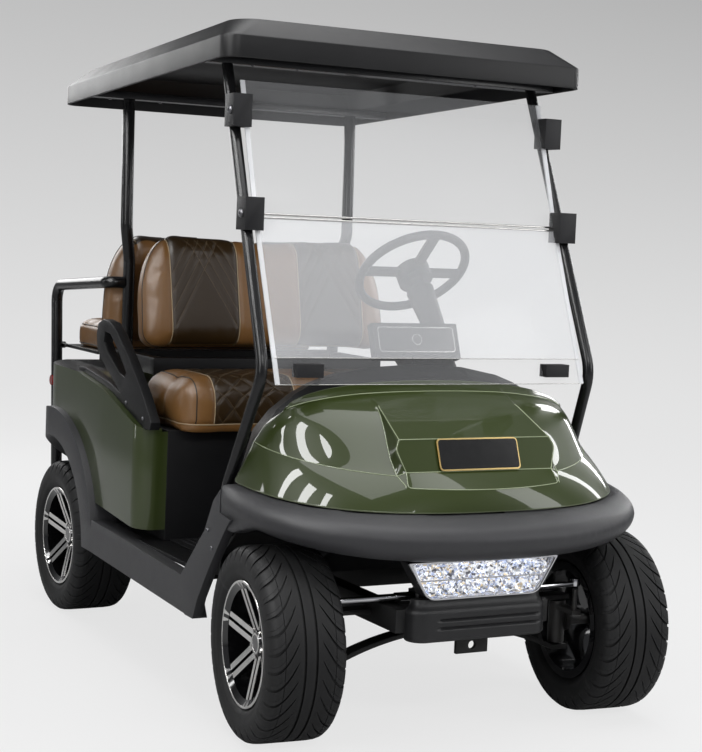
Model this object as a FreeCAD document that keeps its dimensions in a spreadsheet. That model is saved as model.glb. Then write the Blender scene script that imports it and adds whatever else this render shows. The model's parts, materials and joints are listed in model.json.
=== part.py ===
"""Golf cart with a front bench, a rear-facing bench, a two-piece windshield and a moulded roof.

The model is in millimetres. +X is the driver's left side, +Y points to the rear, +Z is up.
The origin is on the ground, below the middle of the cart's length.
"""
import FreeCAD, Part

import math
import os

import Sketcher

doc = FreeCAD.newDocument("golf_cart")
sheet = doc.addObject("Spreadsheet::Sheet", "sizes")

# Driving sizes in millimetres and degrees. A station is a distance behind the front axle.
SIZES = {
    "wheelbase": 1664,
    "nose_reach": 340,
    "tail_reach": 656,
    "front_track": 1012,
    "rear_track": 944,
    "tyre_radius": 260,
    "tyre_width": 215,
    "tread_width": 168,
    "bead_radius": 152,
    "flange_radius": 168,
    "flange_thick": 8,
    "rim_width": 190,
    "rim_wall": 7,
    "hub_recess": 45,
    "hub_radius": 46,
    "cap_radius": 30,
    "spoke_root": 30,
    "spoke_depth": 16,
    "spoke_dish": 34,
    "spoke_turn": 14,
    "lip_flare": 10,
    "spoke_width": 17,
    "spoke_gap": 9,
    "spoke_pairs": 6,
    "seat_gap": 0.3,
    "running_gap": 0.05,
    "moving_gap": 6,
    "spindle_radius": 15,
    "kingpin_radius": 11,
    "kingpin_inset": 121,
    "sleeve_radius": 24,
    "sleeve_height": 120,
    "steer_rest": 5,
    "steer_arm": 95,
    "arm_width": 28,
    "stud_radius": 7,
    "eye_radius": 14,
    "tie_rod_radius": 8,
    "rack_radius": 12,
    "rack_height": 385,
    "rack_half": 150,
    "rack_travel": 60,
    "yoke_thick": 14,
    "leaf_rise": 82,
    "rail_front": 160,
    "rail_inset": 215,
    "rail_width": 50,
    "rail_low": 302,
    "rail_height": 63,
    "beam_width": 60,
    "tow_width": 100,
    "tow_thick": 12,
    "tow_drop": 70,
    "tow_bore": 11,
    "floor_thick": 12,
    "floor_front": 345,
    "floor_half": 556,
    "toe_half": 258,
    "toe_high": 610,
    "arch_height": 545,
    "liner_thick": 6,
    "mat_thick": 6,
    "mat_half": 470,
    "mat_front": 375,
    "base_front": 870,
    "base_rear": 1385,
    "base_half": 486,
    "base_top": 722,
    "wall": 5,
    "shell_wall": 8,
    "body_half": 580,
    "body_rear": 1930,
    "body_low": 405,
    "body_rise": 130,
    "body_nose_corner": 60,
    "body_tail_corner": 250,
    "arch_radius": 352,
    "fender_width": 100,
    "fender_depth": 90,
    "trim_proud": 22,
    "sill_front": 355,
    "sill_rear": 1240,
    "sill_low": 254,
    "sill_rise": 31,
    "sill_height": 104,
    "sill_depth": 70,
    "leg_depth": 28,
    "bumper_depth": 100,
    "bumper_side_depth": 42,
    "bumper_height": 126,
    "bumper_side_height": 84,
    "cowl_half": 565,
    "cowl_lip": 240,
    "cowl_low": 630,
    "cowl_side_low": 665,
    "cowl_side": 190,
    "cowl_back": 130,
    "shoulder_half": 512,
    "shoulder_reach": 206,
    "shoulder_low": 712,
    "shoulder_side": 775,
    "brow_half": 480,
    "brow_reach": 45,
    "brow_height": 855,
    "brow_side": 830,
    "cowl_top": 945,
    "cowl_top_half": 448,
    "cowl_top_side": 862,
    "panel_half": 236,
    "panel_top": 887,
    "panel_crest": 128,
    "panel_high": 812,
    "panel_lean": 160,
    "panel_foot": 729,
    "panel_chin": 195,
    "panel_chin_height": 686,
    "panel_low": 660,
    "dash_rear": 370,
    "strut_radius": 16,
    "strut_top_half": 509,
    "strut_elbow": 100,
    "strut_elbow_height": 970,
    "rear_strut_radius": 20,
    "rear_strut_half": 395,
    "rear_strut_station": 1498,
    "rear_strut_top_half": 420,
    "rear_strut_top": 1480,
    "roof_half_front": 590,
    "roof_half_rear": 555,
    "roof_front": 287,
    "roof_rear": 1760,
    "roof_low_front": 1811,
    "roof_low_rear": 1752,
    "roof_skirt": 61,
    "roof_shoulder": 53,
    "roof_inset": 56,
    "roof_crown": 8,
    "roof_wall": 6,
    "roof_corner": 45,
    "glass_thick": 5,
    "glass_half": 500,
    "glass_foot": 85,
    "glass_low": 938,
    "hinge_station": 265,
    "hinge_height": 1390,
    "glass_head": 388,
    "glass_high": 1768,
    "cushion_half": 500,
    "cushion_front": 750,
    "cushion_rear": 1135,
    "cushion_thick": 176,
    "cushion_round": 45,
    "back_half": 445,
    "back_low": 920,
    "back_height": 400,
    "back_rail": 55,
    "back_thick": 120,
    "back_station": 1170,
    "back_lean": 12,
    "rear_back_station": 1540,
    "rear_back_lean": 2,
    "rear_cushion_half": 440,
    "rear_cushion_front": 1668,
    "rear_cushion_depth": 337,
    "rear_cushion_low": 905,
    "rear_cushion_thick": 100,
    "rear_cushion_round": 30,
    "deck_thick": 12,
    "hinge_setback": 40,
    "guard_radius": 20,
    "guard_half": 468,
    "guard_top": 1135,
    "guard_front": 1498,
    "plate_half": 400,
    "plate_thick": 22,
    "plate_depth": 330,
    "axle_radius": 32,
    "motor_radius": 92,
    "leaf_width": 50,
    "leaf_thick": 24,
    "leaf_half": 300,
    "wheel_rim_radius": 176,
    "wheel_grip_radius": 14,
    "column_lean": 42,
    "column_radius": 20,
    "column_length": 640,
    "column_back": 120,
    "driver_offset": 260,
    "steering_rise": 292,
    "steering_station": 704,
    "pedal_station": 300,
    "dash_low": 640,
    "dash_wall": 14,
    "battery_height": 280,
}

for row, (alias, number) in enumerate(SIZES.items(), start=1):
    sheet.set(f"A{row}", alias.replace("_", " "))
    sheet.set(f"B{row}", str(number))
    sheet.setAlias(f"B{row}", alias)
doc.recompute()


class Size:
    """A number together with the sheet formula that it comes from."""

    def __init__(self, value, text):
        self.value = float(value)
        self.text = text

    def __float__(self):
        return self.value

    def __add__(self, other):
        return joined(self, "+", other)

    def __radd__(self, other):
        return joined(other, "+", self)

    def __sub__(self, other):
        return joined(self, "-", other)

    def __rsub__(self, other):
        return joined(other, "-", self)

    def __mul__(self, other):
        return joined(self, "*", other)

    def __rmul__(self, other):
        return joined(other, "*", self)

    def __truediv__(self, other):
        return joined(self, "/", other)

    def __neg__(self):
        return joined(-1, "*", self)


def joined(left, sign, right):
    """Joins two sizes, or a size and a number, and keeps value and formula together."""
    left, right = sized(left), sized(right)
    value = {
        "+": left.value + right.value,
        "-": left.value - right.value,
        "*": left.value * right.value,
        "/": left.value / right.value if right.value else 0.0,
    }[sign]
    return Size(value, f"({left.text} {sign} {right.text})")


def sized(number):
    if isinstance(number, Size):
        return number
    return Size(number, f"({number:.6g})" if number < 0 else f"{number:.6g}")


def named(alias):
    return Size(getattr(sheet, alias), f"sizes.{alias}")


class Sheet:
    """Gives each size of the sheet by its name."""

    def __getattr__(self, alias):
        return named(alias)


s = Sheet()


def cosine(angle):
    return Size(math.cos(math.radians(float(angle))), f"cos({sized(angle).text})")


def sine(angle):
    return Size(math.sin(math.radians(float(angle))), f"sin({sized(angle).text})")


def bind(thing, path, size):
    """Binds one property of a document object to the sheet."""
    thing.setExpression(path, sized(size).text)


def spot(x, y, z):
    return FreeCAD.Vector(float(x), float(y), float(z))


def place(thing, x, y, z, axis=None, angle=None):
    """Puts an object at a point bound to the sheet, turned about one axis."""
    if axis is not None:
        turn = FreeCAD.Rotation(FreeCAD.Vector(*axis), float(angle))
        thing.Placement = FreeCAD.Placement(spot(x, y, z), turn)
        if isinstance(angle, Size):
            bind(thing, "Placement.Rotation.Angle", angle)
    for letter, size in zip("xyz", (x, y, z)):
        bind(thing, f"Placement.Base.{letter}", size)


NODES = {}


def node(thing, label):
    """Keeps an object as one named piece of the cart."""
    thing.Label = label
    NODES[label] = thing
    return thing


def block(x_range, y_range, z_range):
    """A box between low and high faces along each axis."""
    thing = doc.addObject("Part::Box", "block")
    for side, (low, high) in zip(("Length", "Width", "Height"), (x_range, y_range, z_range)):
        bind(thing, side, high - low)
    place(thing, x_range[0], y_range[0], z_range[0])
    return thing


ROUND_AXES = {"X": ((0, 1, 0), 90), "Y": ((1, 0, 0), -90), "Z": ((0, 0, 1), 0)}


def rod(axis, radius, length, start):
    """A round bar that starts at a point and runs along +X, +Y or +Z."""
    thing = doc.addObject("Part::Cylinder", "rod")
    bind(thing, "Radius", radius)
    bind(thing, "Height", length)
    turn, angle = ROUND_AXES[axis]
    place(thing, *start, axis=turn, angle=angle)
    return thing


def joined_shapes(things):
    thing = doc.addObject("Part::MultiFuse", "joined")
    thing.Shapes = things
    return thing


def cut_away(base, tool):
    thing = doc.addObject("Part::Cut", "cut")
    thing.Base = base
    thing.Tool = tool
    return thing


def shaped(label, shape):
    """A piece whose form is worked out below from the sheet's sizes."""
    thing = doc.addObject("Part::Feature", label)
    thing.Shape = shape
    return node(thing, label)


def sketched(body, plane, outline, offset=None):
    """A closed outline of straight lines with each corner bound to the sheet."""
    sketch = body.newObject("Sketcher::SketchObject", "outline")
    origin_plane = [f for f in body.Origin.OriginFeatures if f.Role == plane][0]
    sketch.AttachmentSupport = [(origin_plane, "")]
    sketch.MapMode = "FlatFace"
    if offset is not None:
        bind(sketch, "AttachmentOffset.Base.z", offset)
    count = len(outline)
    corners = [FreeCAD.Vector(float(a), float(b), 0) for a, b in outline]
    for index in range(count):
        line = Part.LineSegment(corners[index], corners[(index + 1) % count])
        sketch.addGeometry(line, False)
    for index in range(count):
        sketch.addConstraint(Sketcher.Constraint("Coincident", index, 2, (index + 1) % count, 1))
    for index, (across, along) in enumerate(outline):
        for kind, size in (("DistanceX", across), ("DistanceY", along)):
            number = sketch.addConstraint(Sketcher.Constraint(kind, -1, 1, index, 1, float(size)))
            bind(sketch, f"Constraints[{number}]", size)
    return sketch


def revolved(body, outline, axis="H_Axis"):
    """Adds a ring to a body by turning an outline about the body's X axis."""
    sketch = sketched(body, "XZ_Plane", outline)
    turned = body.newObject("PartDesign::Revolution", "revolution")
    turned.Profile = sketch
    turned.ReferenceAxis = (sketch, [axis])
    turned.Angle = 360
    return turned


def new_body(label):
    body = doc.addObject("PartDesign::Body", label)
    return node(body, label)


def tangent_path(points, radii):
    """A wire of straight runs joined by tangent arcs at the inner points."""
    edges = []
    start = points[0]
    for before, corner, after, radius in zip(points, points[1:], points[2:], radii):
        to_start = (before - corner).normalize()
        to_end = (after - corner).normalize()
        half = to_start.getAngle(to_end) / 2
        reach = radius / math.tan(half)
        arc_start = corner + to_start * reach
        arc_end = corner + to_end * reach
        inward = (to_start + to_end).normalize()
        arc_mid = corner + inward * (radius / math.sin(half) - radius)
        edges.append(Part.LineSegment(start, arc_start).toShape())
        edges.append(Part.Arc(arc_start, arc_mid, arc_end).toShape())
        start = arc_end
    edges.append(Part.LineSegment(start, points[-1]).toShape())
    return Part.Wire(edges)


def bent_tube(points, radii, radius):
    """A round tube, taken as solid, along a bent path."""
    path = tangent_path(points, radii)
    direction = points[1] - points[0]
    ring = Part.Wire([Part.Circle(points[0], direction, float(radius)).toShape()])
    return path.makePipeShell([ring], True, False)


def side_plate(points, low, high):
    """A plate with an outline seen from the side, between two X values."""
    corners = [spot(low, y, z) for y, z in points]
    face = Part.Face(Part.makePolygon(corners + corners[:1]))
    return face.extrude(spot(float(high) - float(low), 0, 0))


def mirrored(shape):
    return shape.mirror(spot(0, 0, 0), spot(1, 0, 0))


front_axle = s.nose_reach - (s.nose_reach + s.wheelbase + s.tail_reach) / 2
rear_axle = front_axle + s.wheelbase


def station(size):
    """A Y position, from its distance behind the front axle."""
    return front_axle + size


# Tyres and rims. Each wheel is built about its own centre with its outer side on +X.
def tyre(label):
    body = new_body(label)
    inner = s.bead_radius + s.seat_gap
    bead = s.rim_width / 2 - s.flange_thick - s.seat_gap
    half = s.tyre_width / 2
    tread = s.tread_width / 2
    height = s.tyre_radius - s.flange_radius
    side = [
        (bead, s.flange_radius + s.seat_gap),
        (half - height * 0.06, s.flange_radius + height * 0.2),
        (half, s.flange_radius + height * 0.48),
        (half - height * 0.05, s.tyre_radius - height * 0.24),
        (half - height * 0.15, s.tyre_radius - height * 0.08),
        (tread, s.tyre_radius),
    ]
    outline = [(-bead, inner), (bead, inner)] + side
    outline += [(-along, radius) for along, radius in reversed(side)]
    revolved(body, outline)
    return body


def rim(label):
    body = new_body(label)
    half = s.rim_width / 2
    inner = s.bead_radius - s.rim_wall
    bead = half - s.flange_thick
    hub_face = half - s.hub_recess
    hub_back = hub_face - s.spoke_depth
    bore = s.spindle_radius + s.running_gap
    cap_rise = s.flange_thick
    barrel = hub_back - s.hub_radius
    boss = s.spindle_radius + s.flange_thick * 2
    revolved(body, [
        (-half, inner),
        (half - s.lip_flare, inner),
        (half, s.flange_radius - s.rim_wall),
        (half, s.flange_radius),
        (bead, s.flange_radius),
        (bead, s.bead_radius),
        (-bead, s.bead_radius),
        (-bead, s.flange_radius),
        (-half, s.flange_radius),
    ])
    revolved(body, [
        (barrel, bore),
        (hub_face - cap_rise, bore),
        (hub_face - cap_rise, 0),
        (hub_face + cap_rise, 0),
        (hub_face + cap_rise, s.cap_radius),
        (hub_face, s.cap_radius + cap_rise / 2),
        (hub_face, s.hub_radius),
        (hub_back, s.hub_radius),
        (hub_back, boss),
        (barrel, boss),
    ])
    reach = inner + s.rim_wall / 3
    bars = []
    for low in (s.spoke_gap / 2, -s.spoke_gap / 2 - s.spoke_width):
        spoke = sketched(body, "XZ_Plane", [
            (hub_back, s.spoke_root),
            (hub_face, s.spoke_root),
            (hub_face + s.spoke_dish, reach),
            (hub_back + s.spoke_dish, reach),
        ], offset=low)
        bar = body.newObject("PartDesign::Pad", "spoke")
        bar.Profile = spoke
        bind(bar, "Length", s.spoke_width)
        bars.append(bar)
    doc.recompute()
    ring = body.newObject("PartDesign::PolarPattern", "spokes")
    ring.Originals = bars
    ring.Axis = ([f for f in body.Origin.OriginFeatures if f.Role == "X_Axis"][0], [""])
    ring.Angle = 360
    bind(ring, "Occurrences", s.spoke_pairs)
    body.Tip = ring
    return body


kingpin_x = s.front_track / 2 - s.kingpin_inset
arm_turn = -s.steer_rest


def steered(thing, side, offset, height, flip):
    """Places a piece of a front wheel, given straight ahead, turned with its kingpin."""
    reach = offset * side
    x = kingpin_x * side + reach * cosine(arm_turn)
    y = front_axle + reach * sine(arm_turn)
    turn = arm_turn + 180 if flip else arm_turn
    place(thing, x, y, height, axis=(0, 0, 1), angle=turn)


def rolled(wheel, roll):
    """Turns a placed wheel about its own axle."""
    wheel.setExpression("Placement.Rotation.Angle", None)
    turn = FreeCAD.Rotation(FreeCAD.Vector(1, 0, 0), float(roll))
    wheel.Placement = FreeCAD.Placement(wheel.Placement.Base, wheel.Placement.Rotation * turn)


SIDES = {"left": 1, "right": -1}
for name, side in SIDES.items():
    for maker, piece, roll in ((tyre, "tyre", sized(0)), (rim, "rim", s.spoke_turn)):
        front = maker(f"{piece}_front_{name}")
        steered(front, side, s.kingpin_inset, s.tyre_radius, side < 0)
        rear = maker(f"{piece}_rear_{name}")
        place(rear, s.rear_track / 2 * side, rear_axle, s.tyre_radius,
              axis=(0, 0, 1), angle=0 if side > 0 else 180)
        rolled(front, roll)
        rolled(rear, roll)

# Steering knuckles: a sleeve on the kingpin, a spindle for the wheel and an arm for the tie rod.
sleeve_low = s.tyre_radius - s.sleeve_height / 2
sleeve_high = s.tyre_radius + s.sleeve_height / 2
arm_top = sleeve_high - s.flange_thick
arm_low = arm_top - s.arm_width / 2
stud_top = s.rack_height - s.tie_rod_radius - s.moving_gap
spindle_reach = s.kingpin_inset + s.rim_width / 2 - s.hub_recess - s.flange_thick - 1
for name, side in SIDES.items():
    overlap = s.sleeve_radius / 6
    sleeve = rod("Z", s.sleeve_radius, s.sleeve_height, (0, 0, sleeve_low))
    spindle = rod("X", s.spindle_radius, spindle_reach, (sized(0), 0, s.tyre_radius))
    flange = rod("X", s.spindle_radius * 2, s.tow_thick, (s.sleeve_radius - overlap, 0, s.tyre_radius))
    arm = block((-s.arm_width / 2, s.arm_width / 2), (-s.steer_arm - s.arm_width / 2, sized(0)),
                (arm_low, arm_top))
    stud = rod("Z", s.stud_radius, stud_top - arm_low, (0, -s.steer_arm, arm_low))
    if side < 0:
        for piece, start in ((spindle, sized(0)), (flange, overlap - s.sleeve_radius)):
            bind(piece, "Placement.Base.x", start)
            piece.Placement.Rotation = FreeCAD.Rotation(FreeCAD.Vector(0, 1, 0), -90)
    solid = joined_shapes([sleeve, spindle, flange, arm, stud])
    bore = rod("Z", s.kingpin_radius + s.running_gap, s.sleeve_height + 2, (0, 0, sleeve_low - 1))
    knuckle = node(cut_away(solid, bore), f"knuckle_{name}")
    steered(knuckle, side, sized(0), 0, False)

# Tie rods: one chrome bar that slides across the cart, with an eye at each end.
rack_y = front_axle - s.steer_arm * cosine(arm_turn)
rod_shift = -s.steer_arm * sine(s.steer_rest)
rod_left = kingpin_x + rod_shift
rod_right = -kingpin_x + rod_shift
rack_reach = s.rack_half + s.rack_travel
pieces = [
    rod("X", s.tie_rod_radius, rod_left - rod_right, (rod_right, rack_y, s.rack_height)),
    rod("X", s.rack_radius, 2 * rack_reach, (-rack_reach, rack_y, s.rack_height)),
]
for end in (rod_left, rod_right):
    pieces.append(rod("Z", s.eye_radius, s.tie_rod_radius * 2.5,
                      (end, rack_y, s.rack_height - s.tie_rod_radius / 2)))
node(joined_shapes(pieces), "tie_rods")

# Frame: two rails with cross members, a tow tab at the nose and the steering rack's housing on top.
rail_high = s.rail_low + s.rail_height
plate_rear = station(s.wheelbase + s.tail_reach)
plate_front = plate_rear - s.plate_depth
rail_front = station(-s.rail_front)
rail_rear = plate_front + s.plate_depth / 4
beam_low = s.rail_low + s.moving_gap
pieces = []
for side in (1, -1):
    centre = s.rail_inset * side
    pieces.append(block((centre - s.rail_width / 2, centre + s.rail_width / 2),
                        (rail_front, rail_rear), (s.rail_low, rail_high)))
beams = [rail_front, front_axle - s.beam_width / 2, station(s.mat_front),
         station(s.base_rear) - s.beam_width * 4, rail_rear - s.beam_width]
for start in beams:
    pieces.append(block((-s.rail_inset, s.rail_inset), (start, start + s.beam_width),
                        (beam_low, rail_high)))
tow_low = s.rail_low - s.tow_drop
pieces.append(block((-s.tow_width / 2, s.tow_width / 2), (rail_front, rail_front + s.tow_thick),
                    (tow_low, beam_low + s.tow_thick)))
for side in (1, -1):
    foot = s.rack_half * side * 2 / 3
    pieces.append(block((foot - s.arm_width / 2, foot + s.arm_width / 2),
                        (rack_y, front_axle), (rail_high - s.flange_thick, s.rack_height)))
pieces.append(rod("X", s.rack_radius * 2, 2 * s.rack_half, (-s.rack_half, rack_y, s.rack_height)))
tow_hole = rod("Y", s.tow_bore, s.tow_thick * 3,
               (sized(0), rail_front - s.tow_thick, tow_low + s.tow_bore * 2))
sliding_bore = rod("X", s.rack_radius + s.running_gap, 2 * s.rack_half + 2,
                   (-s.rack_half - 1, rack_y, s.rack_height))
node(cut_away(cut_away(joined_shapes(pieces), tow_hole), sliding_bore), "chassis_frame")

# Front axle: kingpins held between an upper arm and an arched leaf spring below the frame.
pin_low = sleeve_low - s.moving_gap - s.yoke_thick
pin_high = sleeve_high + s.moving_gap + s.yoke_thick
yoke_half = s.sleeve_radius
pieces = []
for side in (1, -1):
    x = kingpin_x * side
    pieces.append(rod("Z", s.kingpin_radius, pin_high - pin_low, (x, front_axle, pin_low)))
    inner = (s.rail_inset + s.rail_width / 2 + s.seat_gap) * side
    low_x, high_x = (inner, x + yoke_half) if side > 0 else (x - yoke_half, inner)
    pieces.append(block((low_x, high_x), (front_axle - yoke_half, front_axle + yoke_half),
                        (pin_high - s.yoke_thick, pin_high)))
leaf_end = kingpin_x + yoke_half
leaf_flat = kingpin_x - yoke_half
leaf_top = pin_low + s.yoke_thick
leaf_outline = []
for level in (pin_low, leaf_top):
    flat_left = Part.LineSegment(spot(-leaf_end, 0, level), spot(-leaf_flat, 0, level))
    arch = Part.Arc(spot(-leaf_flat, 0, level), spot(0, 0, level + s.leaf_rise),
                    spot(leaf_flat, 0, level))
    flat_right = Part.LineSegment(spot(leaf_flat, 0, level), spot(leaf_end, 0, level))
    leaf_outline += [line.toShape() for line in (flat_left, arch, flat_right)]
for side in (1, -1):
    leaf_outline.append(Part.makeLine(spot(leaf_end * side, 0, pin_low),
                                      spot(leaf_end * side, 0, leaf_top)))
leaf_face = Part.Face(Part.Wire(Part.__sortEdges__(leaf_outline)))
leaf = doc.addObject("Part::Feature", "front_leaf")
leaf.Shape = leaf_face.extrude(spot(0, 2 * s.sleeve_radius, 0))
place(leaf, 0, front_axle - s.sleeve_radius, 0)
pieces.append(leaf)
clamp_half = s.rack_half / 2
clamp_top = beam_low - s.seat_gap
pieces.append(block((-clamp_half, clamp_half), (front_axle - s.beam_width / 2, front_axle + s.beam_width / 2),
                    (leaf_top + s.leaf_rise / 2, clamp_top)))
node(joined_shapes(pieces), "front_suspension")

# Rear axle: a straight tube on two leaf springs, with the drive motor round its middle.
hub_reach = s.rear_track / 2 + s.rim_width / 2 - s.hub_recess - s.flange_thick - 1
tube_half = s.rear_track / 2 - s.rim_width / 2 + s.sleeve_radius
case_start = s.tie_rod_radius * 2
axle_parts = [
    rod("X", s.axle_radius, 2 * tube_half, (-tube_half, rear_axle, s.tyre_radius)),
    rod("X", s.spindle_radius, 2 * hub_reach, (-hub_reach, rear_axle, s.tyre_radius)),
    rod("X", s.motor_radius, s.sleeve_height, (case_start, rear_axle, s.tyre_radius)),
]
spring_top = s.tyre_radius - s.axle_radius + s.flange_thick
spring_low = spring_top - s.leaf_thick
spring_x = s.rear_track / 2 - s.tyre_width / 2 - s.leaf_width / 2 - s.moving_gap * 1.5
rail_face = s.rail_inset + s.rail_width / 2 + s.seat_gap
shackle = s.leaf_width * 0.4
for side in (1, -1):
    x = spring_x * side
    axle_parts.append(block((x - s.leaf_width / 2, x + s.leaf_width / 2),
                            (rear_axle - s.leaf_half, rear_axle + s.leaf_half),
                            (spring_low, spring_top)))
    for y in (rear_axle - s.leaf_half, rear_axle + s.leaf_half - shackle):
        axle_parts.append(block((x - shackle, x + shackle), (y, y + shackle),
                                (spring_low, rail_high)))
        inner = (rail_face, x + shackle) if side > 0 else (x - shackle, -rail_face)
        axle_parts.append(block(inner, (y, y + shackle), (rail_high - s.arm_width, rail_high)))
node(joined_shapes(axle_parts), "rear_axle")
motor_length = s.rail_inset - s.rail_width / 2 + s.rack_radius
motor = rod("X", s.motor_radius, motor_length - s.seat_gap,
            (case_start - motor_length, rear_axle, s.tyre_radius))
motor_bore = rod("X", s.axle_radius + s.seat_gap, motor_length + 2,
                 (case_start - motor_length - 1, rear_axle, s.tyre_radius))
node(cut_away(motor, motor_bore), "drive_motor")

# The nose is drawn as rows that run from one side round the front to the other side.
ROW_STEPS = 16
SHARES = [2 * step / ROW_STEPS - 1 for step in range(ROW_STEPS + 1)]


def contour(share, half, nose, rear, low, high, bend):
    """A point on a row: share is -1 at one side, 0 at the nose and 1 at the other side."""
    angle = share * math.pi / 2
    across, along = abs(math.sin(angle)), max(math.cos(angle), 0.0)
    return spot(math.copysign(float(half) * across ** bend, share),
                station(rear - (rear - nose) * along ** bend),
                low + (high - low) * (1 - along))


def lip_point(share, inset=0.0):
    return contour(share, s.cowl_half - inset, inset - s.cowl_lip, s.cowl_side,
                   s.cowl_low, s.cowl_side_low, 0.77)


# Floor: a pressed pan, a toe board between the front wheels and liners over them, with a mat.
floor_top = rail_high + s.floor_thick
front_liner = station(-s.rail_front)
pan_rear = station(s.sill_rear) - s.floor_thick * 2
pan = side_plate([
    (station(s.floor_front), rail_high),
    (pan_rear, rail_high),
    (pan_rear, floor_top),
    (station(s.floor_front), floor_top),
], -s.floor_half, s.floor_half)
toe_top = station(s.beam_width)
toe_board = side_plate([
    (toe_top, s.toe_high - s.floor_thick),
    (station(s.floor_front), rail_high),
    (station(s.floor_front), floor_top),
    (toe_top, s.toe_high),
], -s.toe_half, s.toe_half)
liner_bend = station(s.cowl_side)
liner_top = s.arch_height + s.liner_thick
liner_outline = [
    (front_liner, s.arch_height),
    (liner_bend, s.arch_height),
    (station(s.floor_front) - s.floor_thick, floor_top + s.beam_width),
    (station(s.floor_front), rail_high),
    (station(s.floor_front) + s.liner_thick, rail_high),
    (station(s.floor_front) + s.liner_thick, floor_top + s.beam_width),
    (liner_bend + s.liner_thick, liner_top),
    (front_liner, liner_top),
]
inner_wall = side_plate([
    (toe_top, s.arch_height + 1),
    (liner_bend, s.arch_height + 1),
    (station(s.floor_front), floor_top + s.beam_width),
    (station(s.floor_front), rail_high),
], s.toe_half - s.liner_thick, s.toe_half)
liner = side_plate(liner_outline, s.toe_half - s.liner_thick, s.floor_half)
under_nose = [lip_point(share, float(s.cowl_half - s.floor_half + s.leg_depth)) for share in SHARES]
liner_plan = [spot(under_nose[-1].x, rear_axle, 0)] + [spot(p.x, p.y, 0) for p in under_nose[::-1]]
liner_plan.append(spot(under_nose[0].x, rear_axle, 0))
liner = liner.common(Part.Face(Part.makePolygon(liner_plan + liner_plan[:1])).extrude(
    spot(0, 0, s.toe_high)))
floor_shape = pan.fuse([toe_board, liner, mirrored(liner), inner_wall, mirrored(inner_wall)])
shaped("floor_pan", floor_shape)
node(block((-s.mat_half, s.mat_half), (station(s.mat_front), station(s.base_front) - s.leaf_thick / 8),
           (floor_top + s.seat_gap, floor_top + s.mat_thick)), "floor_mat")

# Seat base: a hollow black box below the front bench, with the batteries inside it.
base_low = floor_top + s.seat_gap
outer = block((-s.base_half, s.base_half), (station(s.base_front), station(s.base_rear)),
              (base_low, s.base_top))
inner = block((s.wall - s.base_half, s.base_half - s.wall),
              (station(s.base_front) + s.wall, station(s.base_rear) - s.wall),
              (base_low - 1, s.base_top - s.wall))
node(cut_away(outer, inner), "seat_base")
battery_inset = s.rail_width + s.wall
battery_rear = pan_rear + s.beam_width
node(block((battery_inset - s.base_half, s.base_half - battery_inset),
           (station(s.base_front) + battery_inset, battery_rear),
           (base_low, base_low + s.battery_height)), "battery_pack")


wall = float(s.shell_wall)


def plan_block(grow, low, high):
    """An upright block with the rounded outline of the body seen from above."""
    half = float(s.body_half) + grow
    front = float(station(s.base_front)) - grow
    length = float(station(s.body_rear)) + grow - front
    solid = Part.makeBox(2 * half, length, high - low, spot(-half, front, low))
    for corner, at_front in ((s.body_nose_corner, True), (s.body_tail_corner, False)):
        upright = [edge for edge in solid.Edges
                   if abs(edge.tangentAt(edge.FirstParameter).z) > 0.9
                   and (edge.CenterOfMass.y < front + length / 2) == at_front
                   and abs(edge.CenterOfMass.x) > half - 1]
        solid = solid.makeFillet(max(float(corner) + grow, wall), upright)
    return solid


def wheel_drum(radius, low, high):
    """A drum about the rear axle, from one X value to another."""
    return Part.makeCylinder(float(radius), float(high - low), spot(low, rear_axle, s.tyre_radius),
                             FreeCAD.Vector(1, 0, 0))


def body_profile(inset):
    """The body's outline from the side, moved in by a wall."""
    drop = inset * 3
    return [
        (station(s.base_front) - 1, s.body_low + s.flange_thick - drop),
        (rear_axle - s.arch_radius - s.body_tail_corner / 2, s.body_low + s.sill_rise - drop),
        (rear_axle, s.body_low + s.beam_width - drop),
        (station(s.body_rear) + 1, s.body_low + s.beam_width - drop),
        (station(s.body_rear) + 1, s.base_top - inset),
        (station(s.body_rear) - s.rail_width, body_high + s.moving_gap - inset),
        (station(s.rear_back_station) - s.leaf_rise, body_high - inset),
        (station(s.cushion_rear) + s.beam_width, s.base_top + s.body_rise * 0.72 - inset),
        (station(s.base_front) - 1, s.base_top + 1 - inset),
    ]


# Rear body: a green shell round the seat base, rounded at its tail and open below.
body_high = s.base_top + s.body_rise
wide = s.body_half + s.fender_width
plan_low, plan_high = float(s.sill_low - s.fender_width), float(body_high + s.fender_width)
body_outer = side_plate(body_profile(0.0), -wide, wide).common(plan_block(0.0, plan_low, plan_high))
body_inner = side_plate(body_profile(wall), -wide, wide).common(plan_block(-wall, plan_low, plan_high))
cushion_low = s.base_top + s.seat_gap
seat_hole = side_plate([
    (station(s.base_front) - s.fender_width, s.rail_low),
    (station(s.base_rear) + s.seat_gap, s.rail_low),
    (station(s.base_rear) + s.seat_gap, cushion_low),
    (station(s.base_front) - s.fender_width, cushion_low),
], -s.base_half - s.seat_gap, s.base_half + s.seat_gap)
cushion_hole = side_plate([
    (station(s.cushion_front), cushion_low - s.wall),
    (station(s.cushion_rear) + s.moving_gap, cushion_low - s.wall),
    (station(s.cushion_rear) + s.moving_gap, body_high + s.fender_width),
    (station(s.cushion_front), body_high + s.fender_width),
], -s.cushion_half - s.wall, s.cushion_half + s.wall)
arch = wheel_drum(s.arch_radius, s.rail_inset + s.leaf_rise, wide)
trim_half = s.body_half + s.trim_proud
band_inside = plan_block(float(s.trim_proud - s.fender_depth), plan_low, plan_high)
band = wheel_drum(s.arch_radius + s.fender_width, s.rear_strut_half, wide)
band = band.cut([wheel_drum(s.arch_radius, s.rear_strut_half - 1, wide + 1), band_inside])
band = band.common(plan_block(float(s.trim_proud), plan_low, plan_high))
sill_end_low = s.sill_low + s.sill_rise
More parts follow.
